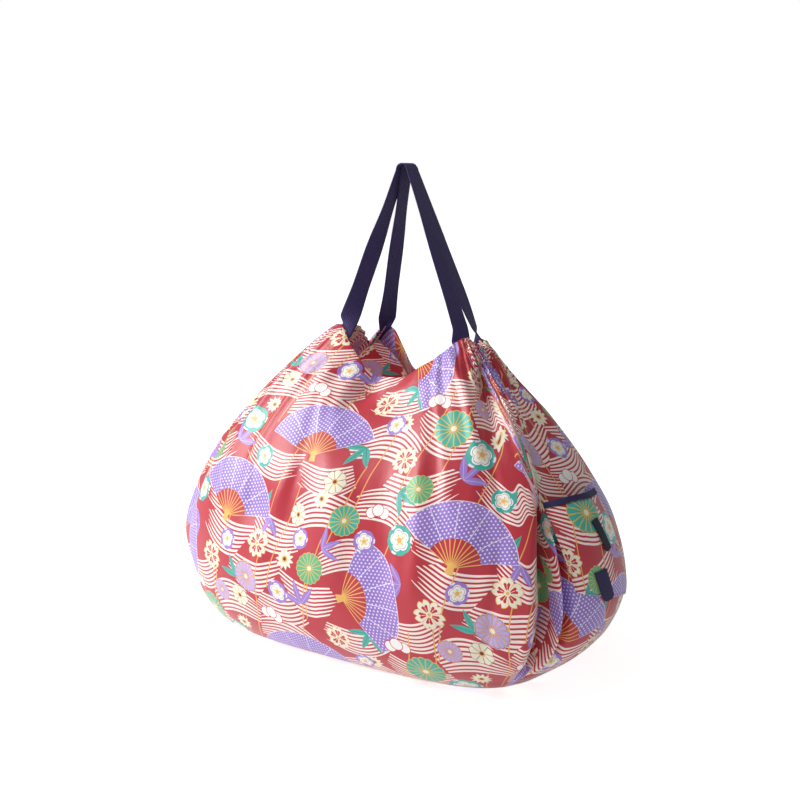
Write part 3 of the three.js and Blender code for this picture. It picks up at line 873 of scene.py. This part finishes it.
def makePrint():
    # the motifs laid over each other on the red ground, the fans over all but the round flowers
    group, wires, give = newGroup("printedCloth", [("Cloth", "NodeSocketVector", None)],
                                  [("Color", "NodeSocketColor")])
    colour = ink["ground"]
    for name, draw in (
        ("waves", drawWaves), ("stems", drawStems), ("sprigs", drawSprigs), ("fans", drawFans),
        ("daisies", drawDaisies), ("blossoms", drawBlossoms), ("cherries", drawCherries),
        ("plums", drawPlums), ("chrysanthemums", drawChrysanthemums), ("roundels", drawRoundels),
    ):
        mask, fill = draw(wires["Cloth"], motifs[name])
        colour = mixColour(mask, colour, fill)
    give("Color", colour)
    return group


# the last entry of the finish is the strength of the painted glow on the cloth's inner side
finish = {
    "threadHeight": 0.02, "creaseScale": 0.035, "creaseDetail": 3.0, "threads": 1.4, "creases": 1.0,
    "bump": 1.2, "bumpStrength": 0.5, "roughness": 0.36, "sheen": 0.3, "sheenRoughness": 0.35,
    "through": 0.16,
}
# the first entry is how much lighter the painted highlight makes the rib crests
tapeFinish = {
    "ribCrestHighlight": 1.45, "rowHeight": 0.4, "bump": 0.25, "bumpStrength": 0.7, "roughness": 0.7,
    "specular": 0.3, "sheen": 0.08, "threadRoughness": 0.6,
}


def makeWeave():
    # height of a plain weave, and of the soft creases that storage leaves in the cloth
    group, wires, give = newGroup(
        "wovenCloth",
        [("Cloth", "NodeSocketVector", None), ("Threads", "NodeSocketFloat", 1.0),
         ("Creases", "NodeSocketFloat", 0.0)],
        [("Height", "NodeSocketFloat")],
    )
    x, y, z = split(wires["Cloth"])
    across = calc("SINE", x * wires["Threads"] * (2 * math.pi))
    down = calc("SINE", y * wires["Threads"] * (2 * math.pi))
    inputs = {"Vector": wires["Cloth"], "Scale": finish["creaseScale"], "Detail": finish["creaseDetail"]}
    noise = addNode("ShaderNodeTexNoise", inputs, {"noise_dimensions": "2D"})
    soft = Wire(group, noise.outputs["Fac"]) * wires["Creases"]
    give("Height", across * down * finish["threadHeight"] + soft)
    return group


printGroup = makePrint()
weaveGroup = makeWeave()


def newMaterial(name):
    material = bpy.data.materials.new(name)
    material.use_nodes = True
    tree = material.node_tree
    shader = tree.nodes["Principled BSDF"]
    uv = tree.nodes.new("ShaderNodeUVMap")
    uv.uv_map = "cloth"
    cloth = scaled(Wire(tree, uv.outputs["UV"]), 1 / mm)
    return material, tree, shader, cloth


def addBump(tree, shader, height, distance, strength):
    node = addNode("ShaderNodeBump", {"Height": height, "Distance": distance, "Strength": strength})
    tree.links.new(node.outputs["Normal"], shader.inputs["Normal"])


def makePrintedCloth(name, through=0.0):
    material, tree, shader, cloth = newMaterial(name)
    colour = useGroup(tree, printGroup, Cloth=cloth)["Color"]
    tree.links.new(colour.socket, shader.inputs["Base Color"])
    woven = useGroup(tree, weaveGroup, Cloth=cloth, Threads=finish["threads"], Creases=finish["creases"])
    addBump(tree, shader, woven["Height"], finish["bump"] * mm, finish["bumpStrength"])
    shader.inputs["Roughness"].default_value = finish["roughness"]
    shader.inputs["Sheen Weight"].default_value = finish["sheen"]
    shader.inputs["Sheen Roughness"].default_value = finish["sheenRoughness"]
    # painted glow: the inner side gives off a little of its own print colour, standing in for the light that
    # the thin cloth lets pass
    tree.links.new(colour.socket, shader.inputs["Emission Color"])
    shader.inputs["Emission Strength"].default_value = through
    return material


def makeTape(name, colour, threads, lengthwise):
    # woven tape with fine ribs across or along it, with painted highlights on the rib crests and painted
    # shade in the valleys
    material, tree, shader, cloth = newMaterial(name)
    x, y, z = split(cloth)
    ribbed, other = (x, y) if lengthwise else (y, x)
    ribs = calc("SINE", ribbed * (threads * 2 * math.pi))
    rows = calc("SINE", other * (threads * math.pi))
    # painted highlight and shade: the colour is lighter on each rib's crest and darker in its valley, in
    # step with the bump
    light = [min(1, value * tapeFinish["ribCrestHighlight"]) for value in colour[:3]] + [1]
    shade = mixColour(ribs * 0.5 + 0.5, colour, light)
    tree.links.new(shade.socket, shader.inputs["Base Color"])
    height = ribs + rows * tapeFinish["rowHeight"]
    addBump(tree, shader, height, tapeFinish["bump"] * mm, tapeFinish["bumpStrength"])
    shader.inputs["Roughness"].default_value = tapeFinish["roughness"]
    shader.inputs["Specular IOR Level"].default_value = tapeFinish["specular"]
    shader.inputs["Sheen Weight"].default_value = tapeFinish["sheen"]
    return material


def makeThread(name, colour):
    material = bpy.data.materials.new(name)
    material.use_nodes = True
    shader = material.node_tree.nodes["Principled BSDF"]
    shader.inputs["Base Color"].default_value = colour
    shader.inputs["Roughness"].default_value = tapeFinish["threadRoughness"]
    return material


clothMaterial = makePrintedCloth("printed_cloth")
# the inner side of the cloth carries a painted glow
insideMaterial = makePrintedCloth("printed_cloth_inside", finish["through"])
webbingMaterial = makeTape("webbing", paint(50, 40, 84), 0.42, True)
tapeMaterial = makeTape("binding_tape", paint(44, 38, 80), 0.9, False)
labelMaterial = makeTape("label_cloth", paint(26, 28, 48), 0.7, False)
clothThread = makeThread("cloth_thread", paint(206, 92, 92))
tapeThread = makeThread("tape_thread", paint(66, 58, 104))
print("materials ready")


def makeMesh(name, points, faces, corners, material):
    # points in millimetres, faces as corner lists, corners as the print's place at each face corner
    mesh = bpy.data.meshes.new(name)
    mesh.from_pydata((np.asarray(points) * mm).tolist(), [], faces)
    layer = mesh.uv_layers.new(name="cloth")
    layer.data.foreach_set("uv", (np.asarray(corners, np.float32) * mm).ravel())
    mesh.materials.append(material)
    mesh.polygons.foreach_set("use_smooth", [True] * len(mesh.polygons))
    mesh.update()
    piece = bpy.data.objects.new(name, mesh)
    bpy.context.collection.objects.link(piece)
    return piece


def solidify(piece, thickness, offset):
    shell = piece.modifiers.new("thickness", "SOLIDIFY")
    shell.thickness = thickness * mm
    shell.offset = offset
    shell.use_even_offset = False
    return shell


def runLength(points, axis):
    # distance along each line of points
    steps = np.linalg.norm(np.diff(points, axis=axis), axis=-1)
    zero = np.zeros_like(np.take(steps, [0], axis=axis))
    return np.concatenate([zero, np.cumsum(steps, axis=axis)], axis=axis)


def evenSteps(values, lengths, count):
    # the values at count + 1 places spaced evenly along the length
    return np.interp(np.linspace(0, lengths[-1], count + 1), lengths, values)


# Handles: webbing sewn inside the mouth and bent over at the top
strap = {
    "width": 25, "thickness": 1.4, "sewn": 20, "seamGap": 1.5, "wallThickness": 1.4, "rimClearance": 5,
    "across": 10, "sewnSteps": 8, "legSteps": 70, "bendSteps": 16, "top": 634,
    "bendX": 18, "bendTurn": 90, "radius": 4.6, "layer": 3.2, "spread": 3.5, "firstPull": 0.08,
    "secondPull": 0.5, "turnBy": 0.45, "bendFrom": 0.6, "bendBy": 0.88, "squareBy": 0.85, "flatBy": 0.16,
}
handles = [
    dict(name="front_handle", node="handle_front", side=-1, layer=1,
         left=dict(angle=228, baseTurn=20, turn=64, rise=4),
         right=dict(angle=322, baseTurn=70, turn=80, rise=4)),
    dict(name="back_handle", node="handle_back", side=1, layer=0,
         left=dict(angle=132, baseTurn=46, turn=76, rise=4),
         right=dict(angle=36, baseTurn=112, turn=90, rise=4)),
]

# The four panels, from seam to seam, and where the print lies on each
panels = [
    dict(start=-146, end=-30, columns=176, centre=-88, printX=150, printY=40),
    dict(start=-30, end=36, columns=122, centre=0, printX=60, printY=130),
    dict(start=36, end=150, columns=88, centre=92, printX=250, printY=90),
    dict(start=150, end=214, columns=46, centre=182, printX=20, printY=210),
]
# The hem is turned in over the ends of the webbing
hem = {
    "depth": 24, "gap": 2.4, "overStrap": 3.4, "strapReach": 7, "bendSteps": 4, "rows": 6, "riseFrom": 0.985,
}


def hemRows(angles):
    # rows of points over the rim and down its inner side
    legs = [leg for handle in handles for leg in (handle["left"], handle["right"])]
    strapAway = np.min([np.abs(turnFrom(angles, leg["angle"])) for leg in legs], 0)
    near = np.exp(-((strapAway / hem["strapReach"]) ** 4))
    inset = (hem["gap"] + hem["overStrap"] * near)[:, None]
    top = wallPoint(angles, 1.0, fine=True)
    outward = wallNormal(angles, 1.0, fine=True)
    rise = unit(top - wallPoint(angles, hem["riseFrom"], fine=True))
    rows = []
    for i in range(1, hem["bendSteps"] + 1):
        swing = math.pi * i / hem["bendSteps"]
        over = outward * (1 - math.cos(swing)) - rise * math.sin(swing)
        rows.append(top - over * inset / 2)
    for i in range(1, hem["rows"] + 1):
        up = 1 - hem["depth"] / bag["height"] * i / hem["rows"]
        rows.append(wallPoint(angles, up, fine=True) - wallNormal(angles, up, fine=True) * inset)
    return np.array(rows)


def evenRows(run):
    # lengths around the bag, evened out between rows so that folds don't shear the print
    weights = np.hanning(bag["evenRows"] + 2)[1:-1]
    weights = weights / weights.sum()
    half = bag["evenRows"] // 2
    padded = np.pad(run, ((half, half), (0, 0)), mode="edge")
    return sum(weight * padded[k:k + len(run)] for k, weight in enumerate(weights))


def standFor(piece, node):
    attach(piece, "root")
    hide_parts(node)


def makeWall():
    # a grid of points for all four panels and the hem, with the print's place on each panel
    ups = np.linspace(0, 1, bag["samples"])
    wall = wallPoint(-90.0, ups)
    rows = evenSteps(ups, runLength(wall[None], 1)[0], bag["rows"])
    bag["ups"] = rows
    grids = []
    for panel in panels:
        step = bag["angleStep"]
        angles = np.arange(panel["start"], panel["end"] + step / 10, step)
        levels = wallPoint(*np.meshgrid(angles, bag["sampleLevels"]), fine=True)
        lengths = runLength(levels, 1).mean(0) + bag["slackPerDegree"] * (angles - angles[0])
        panel["angles"] = evenSteps(angles, lengths, panel["columns"])
        grid = wallPoint(*np.meshgrid(panel["angles"], rows), fine=True)
        grid = np.concatenate([grid, hemRows(panel["angles"])])
        run = evenRows(runLength(grid, 1))
        middleAt = np.interp(panel["centre"], panel["angles"], np.arange(panel["columns"] + 1))
        left = int(middleAt)
        centre = run[:, left] + (run[:, left + 1] - run[:, left]) * (middleAt - left)
        panel["across"] = run - centre[:, None] + panel["printX"]
        panel["down"] = runLength(grid, 0) + panel["printY"]
        grids.append(grid[:, :-1])
    bag["wall"] = np.concatenate(grids, axis=1)
    bag["angles"] = np.concatenate([panel["angles"][:-1] for panel in panels])


def makeBody():
    wall = bag["wall"]
    levels, columns = wall.shape[:2]
    points = wall.reshape(-1, 3).tolist()
    faces = []
    corners = []
    for i in range(levels - 1):
        start = 0
        for panel in panels:
            for j in range(panel["columns"]):
                a = i * columns + start + j
                b = i * columns + (start + j + 1) % columns
                faces.append((a, b, b + columns, a + columns))
                for row, place in ((i, j), (i, j + 1), (i + 1, j + 1), (i + 1, j)):
                    corners.append((panel["across"][row, place], panel["down"][row, place]))
            start += panel["columns"]
    # the flat bottom, in rings that close on one point
    centre = np.array([sections[0]["middle"] + shift[0], shift[1], wall[0, 0, 2]])
    ring = list(range(columns))
    for k in range(1, bag["floorRings"] + 1):
        share = k / bag["floorRings"]
        if k == bag["floorRings"]:
            points.append(centre.tolist())
            inner = [len(points) - 1] * columns
        else:
            inner = list(range(len(points), len(points) + columns))
            points += (wall[0] * (1 - share) + centre * share).tolist()
        for j in range(columns):
            b = (j + 1) % columns
            loop = [ring[j], inner[j], inner[b], ring[b]]
            if inner[j] == inner[b]:
                loop = [ring[j], inner[j], ring[b]]
            faces.append(tuple(loop))
            corners += [(points[index][0], points[index][1]) for index in loop]
        ring = inner
    body = makeMesh("bag_cloth", points, faces, corners, clothMaterial)
    body.data.materials.append(insideMaterial)
    solidify(body, bag["cloth"], -1).material_offset = 1
    standFor(body, "bag_body")
    return body


makeWall()
bodyCloth = makeBody()
print("body ready", len(bodyCloth.data.polygons), "faces")


def sheetPiece(name, grid, uv, thickness, material):
    # a sheet through a grid of points, with uv the print's place at each point
    rows, columns = grid.shape[:2]
    faces = []
    corners = []
    for i in range(rows - 1):
        for j in range(columns - 1):
            loop = [(i, j), (i + 1, j), (i + 1, j + 1), (i, j + 1)]
            faces.append([row * columns + place for row, place in loop])
            corners += [uv[row, place] for row, place in loop]
    piece = makeMesh(name, grid.reshape(-1, 3), faces, corners, material)
    solidify(piece, thickness, 0)
    return piece


def arcUv(grid, x=0.0, y=0.0):
    # the print's place from the distances over the sheet itself
    across = runLength(grid, 1)
    across = across - across[:, across.shape[1] // 2][:, None]
    down = -runLength(grid, 0)
    return np.stack([across + x, down + y], -1)


def sewnRow(angle, below):
    up = 1 - below / bag["height"]
    span = np.linalg.norm(wallPoint(angle + 1, up) - wallPoint(angle - 1, up)) / 2
    inset = strap["wallThickness"] + strap["seamGap"] + strap["thickness"] / 2
    spots = angle + np.linspace(-0.5, 0.5, strap["across"] + 1) * strap["width"] / span
    return wallPoint(spots, up) - wallNormal(spots, up) * inset


def legRows(leg, side, sense, layer):
    reach = strap["radius"] + layer * strap["layer"]
    top = np.array([
        strap["bendX"] + sense * reach + shift[0],
        side * strap["spread"] + shift[1],
        strap["top"] - strap["radius"] - strap["layer"],
    ])
    steps = strap["sewnSteps"]
    half = strap["across"] // 2
    sewn = [sewnRow(leg["angle"], strap["sewn"] * (1 - i / steps)) for i in range(steps + 1)]
    below = sewnRow(leg["angle"], strap["sewn"] / 3)
    wallRise = unit(sewn[-1][half] - below[half])
    last = sewn[-1] + wallRise * strap["rimClearance"]
    base = last[half]
    points = [
        base,
        base + (top - base) * strap["firstPull"] + wallRise * leg["rise"],
        top + (base - top) * strap["secondPull"],
        top,
    ]
    flip = last[-1] - last[0]
    rows = sewn + [last]
    reverse = False
    for i in range(1, strap["legSteps"] + 1):
        t = i / strap["legSteps"]
        weights = [(1 - t) ** 3, 3 * t * (1 - t) ** 2, 3 * t * t * (1 - t), t ** 3]
        centre = sum(weight * point for weight, point in zip(weights, points))
        speeds = [3 * (1 - t) ** 2, 6 * t * (1 - t), 3 * t * t]
        sides = [after - before for before, after in zip(points, points[1:])]
        along = unit(sum(speed * side for speed, side in zip(speeds, sides)))
        early = smoothStep(0, strap["turnBy"], t)
        late = smoothStep(strap["bendFrom"], strap["bendBy"], t)
        turn = leg["baseTurn"] + (leg["turn"] - leg["baseTurn"]) * early
        turn = turn * (1 - late) + strap["bendTurn"] * late
        width = np.array([math.cos(math.radians(turn)), math.sin(math.radians(turn)), 0])
        if i == 1:
            reverse = width @ flip < 0
        if reverse:
            width = -width
        square = 1 - smoothStep(strap["bendFrom"], strap["squareBy"], t)
        width = unit(width - along * (width @ along) * square)
        settle = 1 - smoothStep(0, strap["flatBy"], t)
        spread = np.linspace(-0.5, 0.5, strap["across"] + 1)[:, None] * strap["width"]
        flat = centre + width * spread
        curled = centre + last - base
        rows.append(flat * (1 - settle) + curled * settle)
    return rows, reverse


def makeHandle(handle):
    left, leftReversed = legRows(handle["left"], handle["side"], -1, handle["layer"])
    right, rightReversed = legRows(handle["right"], handle["side"], 1, handle["layer"])
    right = right[::-1]
    if leftReversed != rightReversed:
        right = [row[::-1] for row in right]
    reach = strap["radius"] + handle["layer"] * strap["layer"]
    bend = []
    for i in range(1, strap["bendSteps"]):
        swing = math.pi * i / strap["bendSteps"]
        row = left[-1] + (right[0] - left[-1]) * (1 - math.cos(swing)) / 2
        bend.append(row + np.array([0, 0, reach * math.sin(swing)]))
    grid = np.array(left + bend + right)
    piece = sheetPiece(handle["name"], grid, arcUv(grid), strap["thickness"], webbingMaterial)
    standFor(piece, handle["node"])
    handle["length"] = float(runLength(grid, 0)[-1, strap["across"] // 2])
    return piece


handlePieces = [makeHandle(handle) for handle in handles]
print("handles ready", [round(handle["length"]) for handle in handles])

# Patch pocket on the +X end
pocket = {
    "topLeft": (-26, 0.61), "topRight": (4, 0.606), "lowLeft": (-21.5, 0.375), "lowRight": (9, 0.285),
    "thickness": 1.4, "gap": 1.3, "gape": 16, "deepest": -3, "across": 60, "down": 60,
    "roundness": 0.8, "closing": 1.3, "frameStep": 0.02, "cloth": 1.0, "printX": 262, "printY": 120,
}
binding = {"height": 7, "thickness": 3, "shown": 2.4, "gap": 0.4, "rows": 4, "forward": 0.15}
labelTab = {
    "across": 0.62, "down": 0.33, "width": 14, "length": 44, "lean": -16, "skew": -14, "thickness": 0.8,
    "gap": 0.7, "corner": 1.5, "lift": 1.5, "steps": 40, "breadth": 10,
}
closingTab = {
    "across": 0.44, "down": 0.86, "width": 22, "length": 40, "lean": -18, "skew": -16, "thickness": 1.2,
    "gap": 0.8, "corner": 6, "lift": 2.5, "steps": 40, "breadth": 14,
}


def pocketPoint(across, down):
    across = np.asarray(across, float)
    down = np.asarray(down, float)

    def between(k):
        top = pocket["topLeft"][k] + (pocket["topRight"][k] - pocket["topLeft"][k]) * across
        low = pocket["lowLeft"][k] + (pocket["lowRight"][k] - pocket["lowLeft"][k]) * across
        return top + (low - top) * down

    angle = between(0)
    up = between(1)
    opened = np.maximum(0, np.sin(np.pi * across)) ** pocket["roundness"]
    gape = pocket["gape"] * opened * np.maximum(0, 1 - down) ** pocket["closing"]
    off = pocket["gap"] + pocket["thickness"] / 2 + gape
    wall = wallPoint(angle, up, pocket["deepest"])
    return wall + wallNormal(angle, up, pocket["deepest"]) * off[..., None]


def pocketFrame(across, down):
    step = pocket["frameStep"]
    aside = unit(pocketPoint(across + step, down) - pocketPoint(across - step, down))
    below = pocketPoint(across, down + step) - pocketPoint(across, down - step)
    outward = unit(np.cross(below, aside))
    return aside, unit(np.cross(outward, aside)), outward


def makePocket():
    across = np.linspace(0, 1, pocket["across"] + 1)
    down = np.linspace(0, 1, pocket["down"] + 1)
    grid = pocketPoint(*np.meshgrid(across, down))
    uv = arcUv(grid, pocket["printX"], pocket["printY"])
    panel = sheetPiece("pocket_cloth", grid, uv, pocket["cloth"], clothMaterial)
    standFor(panel, "pocket_panel")
    return panel, grid


def makeBinding():
    rows = []
    for lift in np.linspace(1, 0, binding["rows"] + 1):
        row = []
        for across in np.linspace(0, 1, pocket["across"] + 1):
            aside, upward, outward = pocketFrame(across, 0.0)
            spot = pocketPoint(across, 0.0) + upward * (binding["gap"] + lift * binding["height"])
            row.append(spot + outward * binding["thickness"] * binding["forward"])
        rows.append(row)
    grid = np.array(rows)
    tape = sheetPiece("pocket_tape", grid, arcUv(grid), binding["shown"], tapeMaterial)
    standFor(tape, "pocket_binding")
    return tape, grid


def rotateAbout(vector, axis, angle):
    cosine = math.cos(angle)
    sine = math.sin(angle)
    return vector * cosine + np.cross(axis, vector) * sine + axis * (axis @ vector) * (1 - cosine)


def makeTab(name, node, tab, material):
    # a tab that follows the pocket's curve, with the grid of its outer face
    aside, upward, outward = pocketFrame(tab["across"], tab["down"])
    width = rotateAbout(aside, outward, -math.radians(tab["lean"]))
    length = rotateAbout(-upward, outward, -math.radians(tab["lean"] + tab["skew"]))
    lift = pocket["thickness"] / 2 + tab["gap"] + tab["thickness"] / 2
    cloud = pocketGrid.reshape(-1, 3)
    base = pocketPoint(tab["across"], tab["down"])
    rows = []
    for i in range(tab["steps"] + 1):
        # the free end has round corners and stands off a little
        down = i / tab["steps"]
        corner = max(0.0, tab["corner"] - (1 - down) * tab["length"])
        breadth = tab["width"] - 2 * (tab["corner"] - math.sqrt(tab["corner"] ** 2 - corner ** 2))
        middle = base + length * (down - 0.5) * tab["length"]
        row = []
        for j in range(tab["breadth"] + 1):
            spot = middle + width * (j / tab["breadth"] - 0.5) * breadth
            away = cloud - spot
            height = away @ outward
            nearest = np.argmin(np.linalg.norm(away - height[:, None] * outward, axis=1))
            row.append(spot + outward * (lift + height[nearest] + tab["lift"] * down ** 2))
        rows.append(row)
    grid = np.array(rows)
    piece = sheetPiece(name, grid, arcUv(grid), tab["thickness"], material)
    standFor(piece, node)
    return piece, grid + outward * tab["thickness"] / 2


pocketCloth, pocketGrid = makePocket()
pocketTape, tapeGrid = makeBinding()
label, labelFace = makeTab("plain_label", "label_tab", labelTab, labelMaterial)
closing, closingFace = makeTab("closing_strap", "closing_tab", closingTab, tapeMaterial)
print("pocket ready")

# Stitches: how far apart, how long and how thick, and where the rows run
seam = {
    "pitch": 3.0, "stitch": 2.3, "thread": 0.55, "sides": 6, "rings": 4, "hemRow": 21, "boxTop": 4,
    "boxLow": 18, "boxHalf": 9.5, "boxPoints": 14, "pocketEdge": 2.4, "pocketPoints": 60, "tabRow": 3.0,
    "hemStep": 0.5, "above": 0.3,
}
stitchLift = seam["thread"] * seam["above"]


def makeStitchTree():
    # puts a stitch at each step along the lines of a mesh
    tree = bpy.data.node_groups.new("stitches", "GeometryNodeTree")
    tree.interface.new_socket("Lines", in_out="INPUT", socket_type="NodeSocketGeometry")
    identifiers = {}
    for label in ("Pitch", "Stitch", "Thread"):
        socket = tree.interface.new_socket(label, in_out="INPUT", socket_type="NodeSocketFloat")
        identifiers[label] = socket.identifier
    socket = tree.interface.new_socket("Material", in_out="INPUT", socket_type="NodeSocketMaterial")
    identifiers["Material"] = socket.identifier
    tree.interface.new_socket("Stitches", in_out="OUTPUT", socket_type="NodeSocketGeometry")
    enter = tree.nodes.new("NodeGroupInput")
    leave = tree.nodes.new("NodeGroupOutput")
    lines = tree.nodes.new("GeometryNodeMeshToCurve")
    spots = tree.nodes.new("GeometryNodeCurveToPoints")
    spots.mode = "LENGTH"
    align = tree.nodes.new("FunctionNodeAlignRotationToVector")
    align.axis = "Z"
    size = tree.nodes.new("ShaderNodeCombineXYZ")
    shape = tree.nodes.new("GeometryNodeMeshUVSphere")
    shape.inputs["Segments"].default_value = seam["sides"]
    shape.inputs["Rings"].default_value = seam["rings"]
    shape.inputs["Radius"].default_value = 0.5
    smooth = tree.nodes.new("GeometryNodeSetShadeSmooth")
    place = tree.nodes.new("GeometryNodeInstanceOnPoints")
    realize = tree.nodes.new("GeometryNodeRealizeInstances")
    paintNode = tree.nodes.new("GeometryNodeSetMaterial")
    for source, target in (
        (enter.outputs["Lines"], lines.inputs["Mesh"]),
        (lines.outputs["Curve"], spots.inputs["Curve"]),
        (enter.outputs["Pitch"], spots.inputs["Length"]),
        (spots.outputs["Tangent"], align.inputs["Vector"]),
        (enter.outputs["Thread"], size.inputs["X"]),
        (enter.outputs["Thread"], size.inputs["Y"]),
        (enter.outputs["Stitch"], size.inputs["Z"]),
        (shape.outputs["Mesh"], smooth.inputs["Geometry"]),
        (spots.outputs["Points"], place.inputs["Points"]),
        (smooth.outputs["Geometry"], place.inputs["Instance"]),
        (align.outputs["Rotation"], place.inputs["Rotation"]),
        (size.outputs["Vector"], place.inputs["Scale"]),
        (place.outputs["Instances"], realize.inputs["Geometry"]),
        (realize.outputs["Geometry"], paintNode.inputs["Geometry"]),
        (enter.outputs["Material"], paintNode.inputs["Material"]),
        (paintNode.outputs["Geometry"], leave.inputs["Stitches"]),
    ):
        tree.links.new(source, target)
    return tree, identifiers


stitchTree, stitchInputs = makeStitchTree()


def makeStitches(name, lines, material):
    points = []
    edges = []
    for line in lines:
        edges += [(len(points) + i, len(points) + i + 1) for i in range(len(line) - 1)]
        points += (np.asarray(line) * mm).tolist()
    mesh = bpy.data.meshes.new(name + "_lines")
    mesh.from_pydata(points, edges, [])
    piece = bpy.data.objects.new(name, mesh)
    bpy.context.collection.objects.link(piece)
    rows = piece.modifiers.new("stitches", "NODES")
    rows.node_group = stitchTree
    rows[stitchInputs["Pitch"]] = seam["pitch"] * mm
    rows[stitchInputs["Stitch"]] = seam["stitch"] * mm
    rows[stitchInputs["Thread"]] = seam["thread"] * mm
    rows[stitchInputs["Material"]] = material
    bpy.context.view_layer.update()
    evaluated = piece.evaluated_get(bpy.context.evaluated_depsgraph_get())
    piece.data = bpy.data.meshes.new_from_object(evaluated)
    piece.modifiers.clear()
    piece.data.name = name
    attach(piece, "root")
    return piece


def onCloth(angle, up):
    # places on the outer face of the visible cloth's own mesh
    columns = len(bag["angles"])
    start = bag["angles"][0]
    across = np.interp((angle - start) % 360 + start, bag["angles"], np.arange(columns))
    down = np.interp(up, bag["ups"], np.arange(len(bag["ups"])))
    i = np.minimum(down.astype(int), len(bag["ups"]) - 2)
    j = across.astype(int)
    s = (down - i)[:, None]
    t = (across - j)[:, None]
    low = bag["wall"][i, j] * (1 - t) + bag["wall"][i, (j + 1) % columns] * t
    high = bag["wall"][i + 1, j] * (1 - t) + bag["wall"][i + 1, (j + 1) % columns] * t
    return low * (1 - s) + high * s + wallNormal(angle, up, fine=True) * stitchLift


def clothLines():
    around = np.arange(panels[0]["start"], panels[-1]["end"], seam["hemStep"])
    lines = [onCloth(around, np.full(around.shape, 1 - seam["hemRow"] / bag["height"]))]
    top = 1 - seam["boxTop"] / bag["height"]
    low = 1 - seam["boxLow"] / bag["height"]
    share = np.linspace(0, 1, seam["boxPoints"])
    for handle in handles:
        for leg in (handle["left"], handle["right"]):
            # a crossed box over the end of the webbing
            edge = wallPoint(np.array([leg["angle"] - 1.0, leg["angle"] + 1.0]), (top + low) / 2)
            half = seam["boxHalf"] * 2 / np.linalg.norm(edge[1] - edge[0])
            left = leg["angle"] - half
            right = leg["angle"] + half
            corners = [(left, top), (right, top), (right, low), (left, low)]
            for first, last in ((0, 1), (1, 2), (2, 3), (3, 0), (0, 2), (1, 3)):
                a = corners[first]
                b = corners[last]
                lines.append(onCloth(a[0] + (b[0] - a[0]) * share, a[1] + (b[1] - a[1]) * share))
    # the sides and the lower edge of the pocket
    width = np.linalg.norm(pocketGrid[0, -1] - pocketGrid[0, 0])
    height = np.linalg.norm(pocketGrid[-1, 0] - pocketGrid[0, 0])
    edge = seam["pocketEdge"] / width
    low = 1 - seam["pocketEdge"] / height
    share = np.linspace(0, 1, seam["pocketPoints"])
    for across, down in ((edge + 0 * share, low * share), (1 - edge + 0 * share, low * share),
                         (edge + (1 - 2 * edge) * share, low + 0 * share)):
        face = pocketPoint(across, down)
        outward = np.array([pocketFrame(a, d)[2] for a, d in zip(across, down)])
        lines.append(face + outward * (pocket["cloth"] / 2 + stitchLift))
    return lines


def tapeLines():
    shares = np.linspace(0, 1, pocket["across"] + 1)
    outward = np.array([pocketFrame(across, 0.0)[2] for across in shares])
    lines = [tapeGrid[-2] + outward * (binding["shown"] / 2 + stitchLift)]
    for tab, face in ((labelTab, labelFace), (closingTab, closingFace)):
        index = round(seam["tabRow"] / tab["length"] * tab["steps"])
        lines.append(face[index, 1:-1] + pocketFrame(tab["across"], tab["down"])[2] * stitchLift)
    return lines


clothStitches = makeStitches("cloth_stitches", clothLines(), clothThread)
tapeStitches = makeStitches("tape_stitches", tapeLines(), tapeThread)
print("stitches ready", len(clothStitches.data.polygons), len(tapeStitches.data.polygons))


# The handles' lengths and the tabs' sizes, in metres, are worked out here and not kept. The bag's panels
# narrow towards the mouth and the bottom, and the cut isn't known, so its area is that of the shaped
# cloth. The tape is declared narrower than its real cut, because it is built as one thick layer.
for piece, handle in zip(handlePieces, handles):
    handle["length"] * mm
for piece, tab in ((label, labelTab), (closing, closingTab)):
    tab["width"] * mm
    tab["length"] * mm
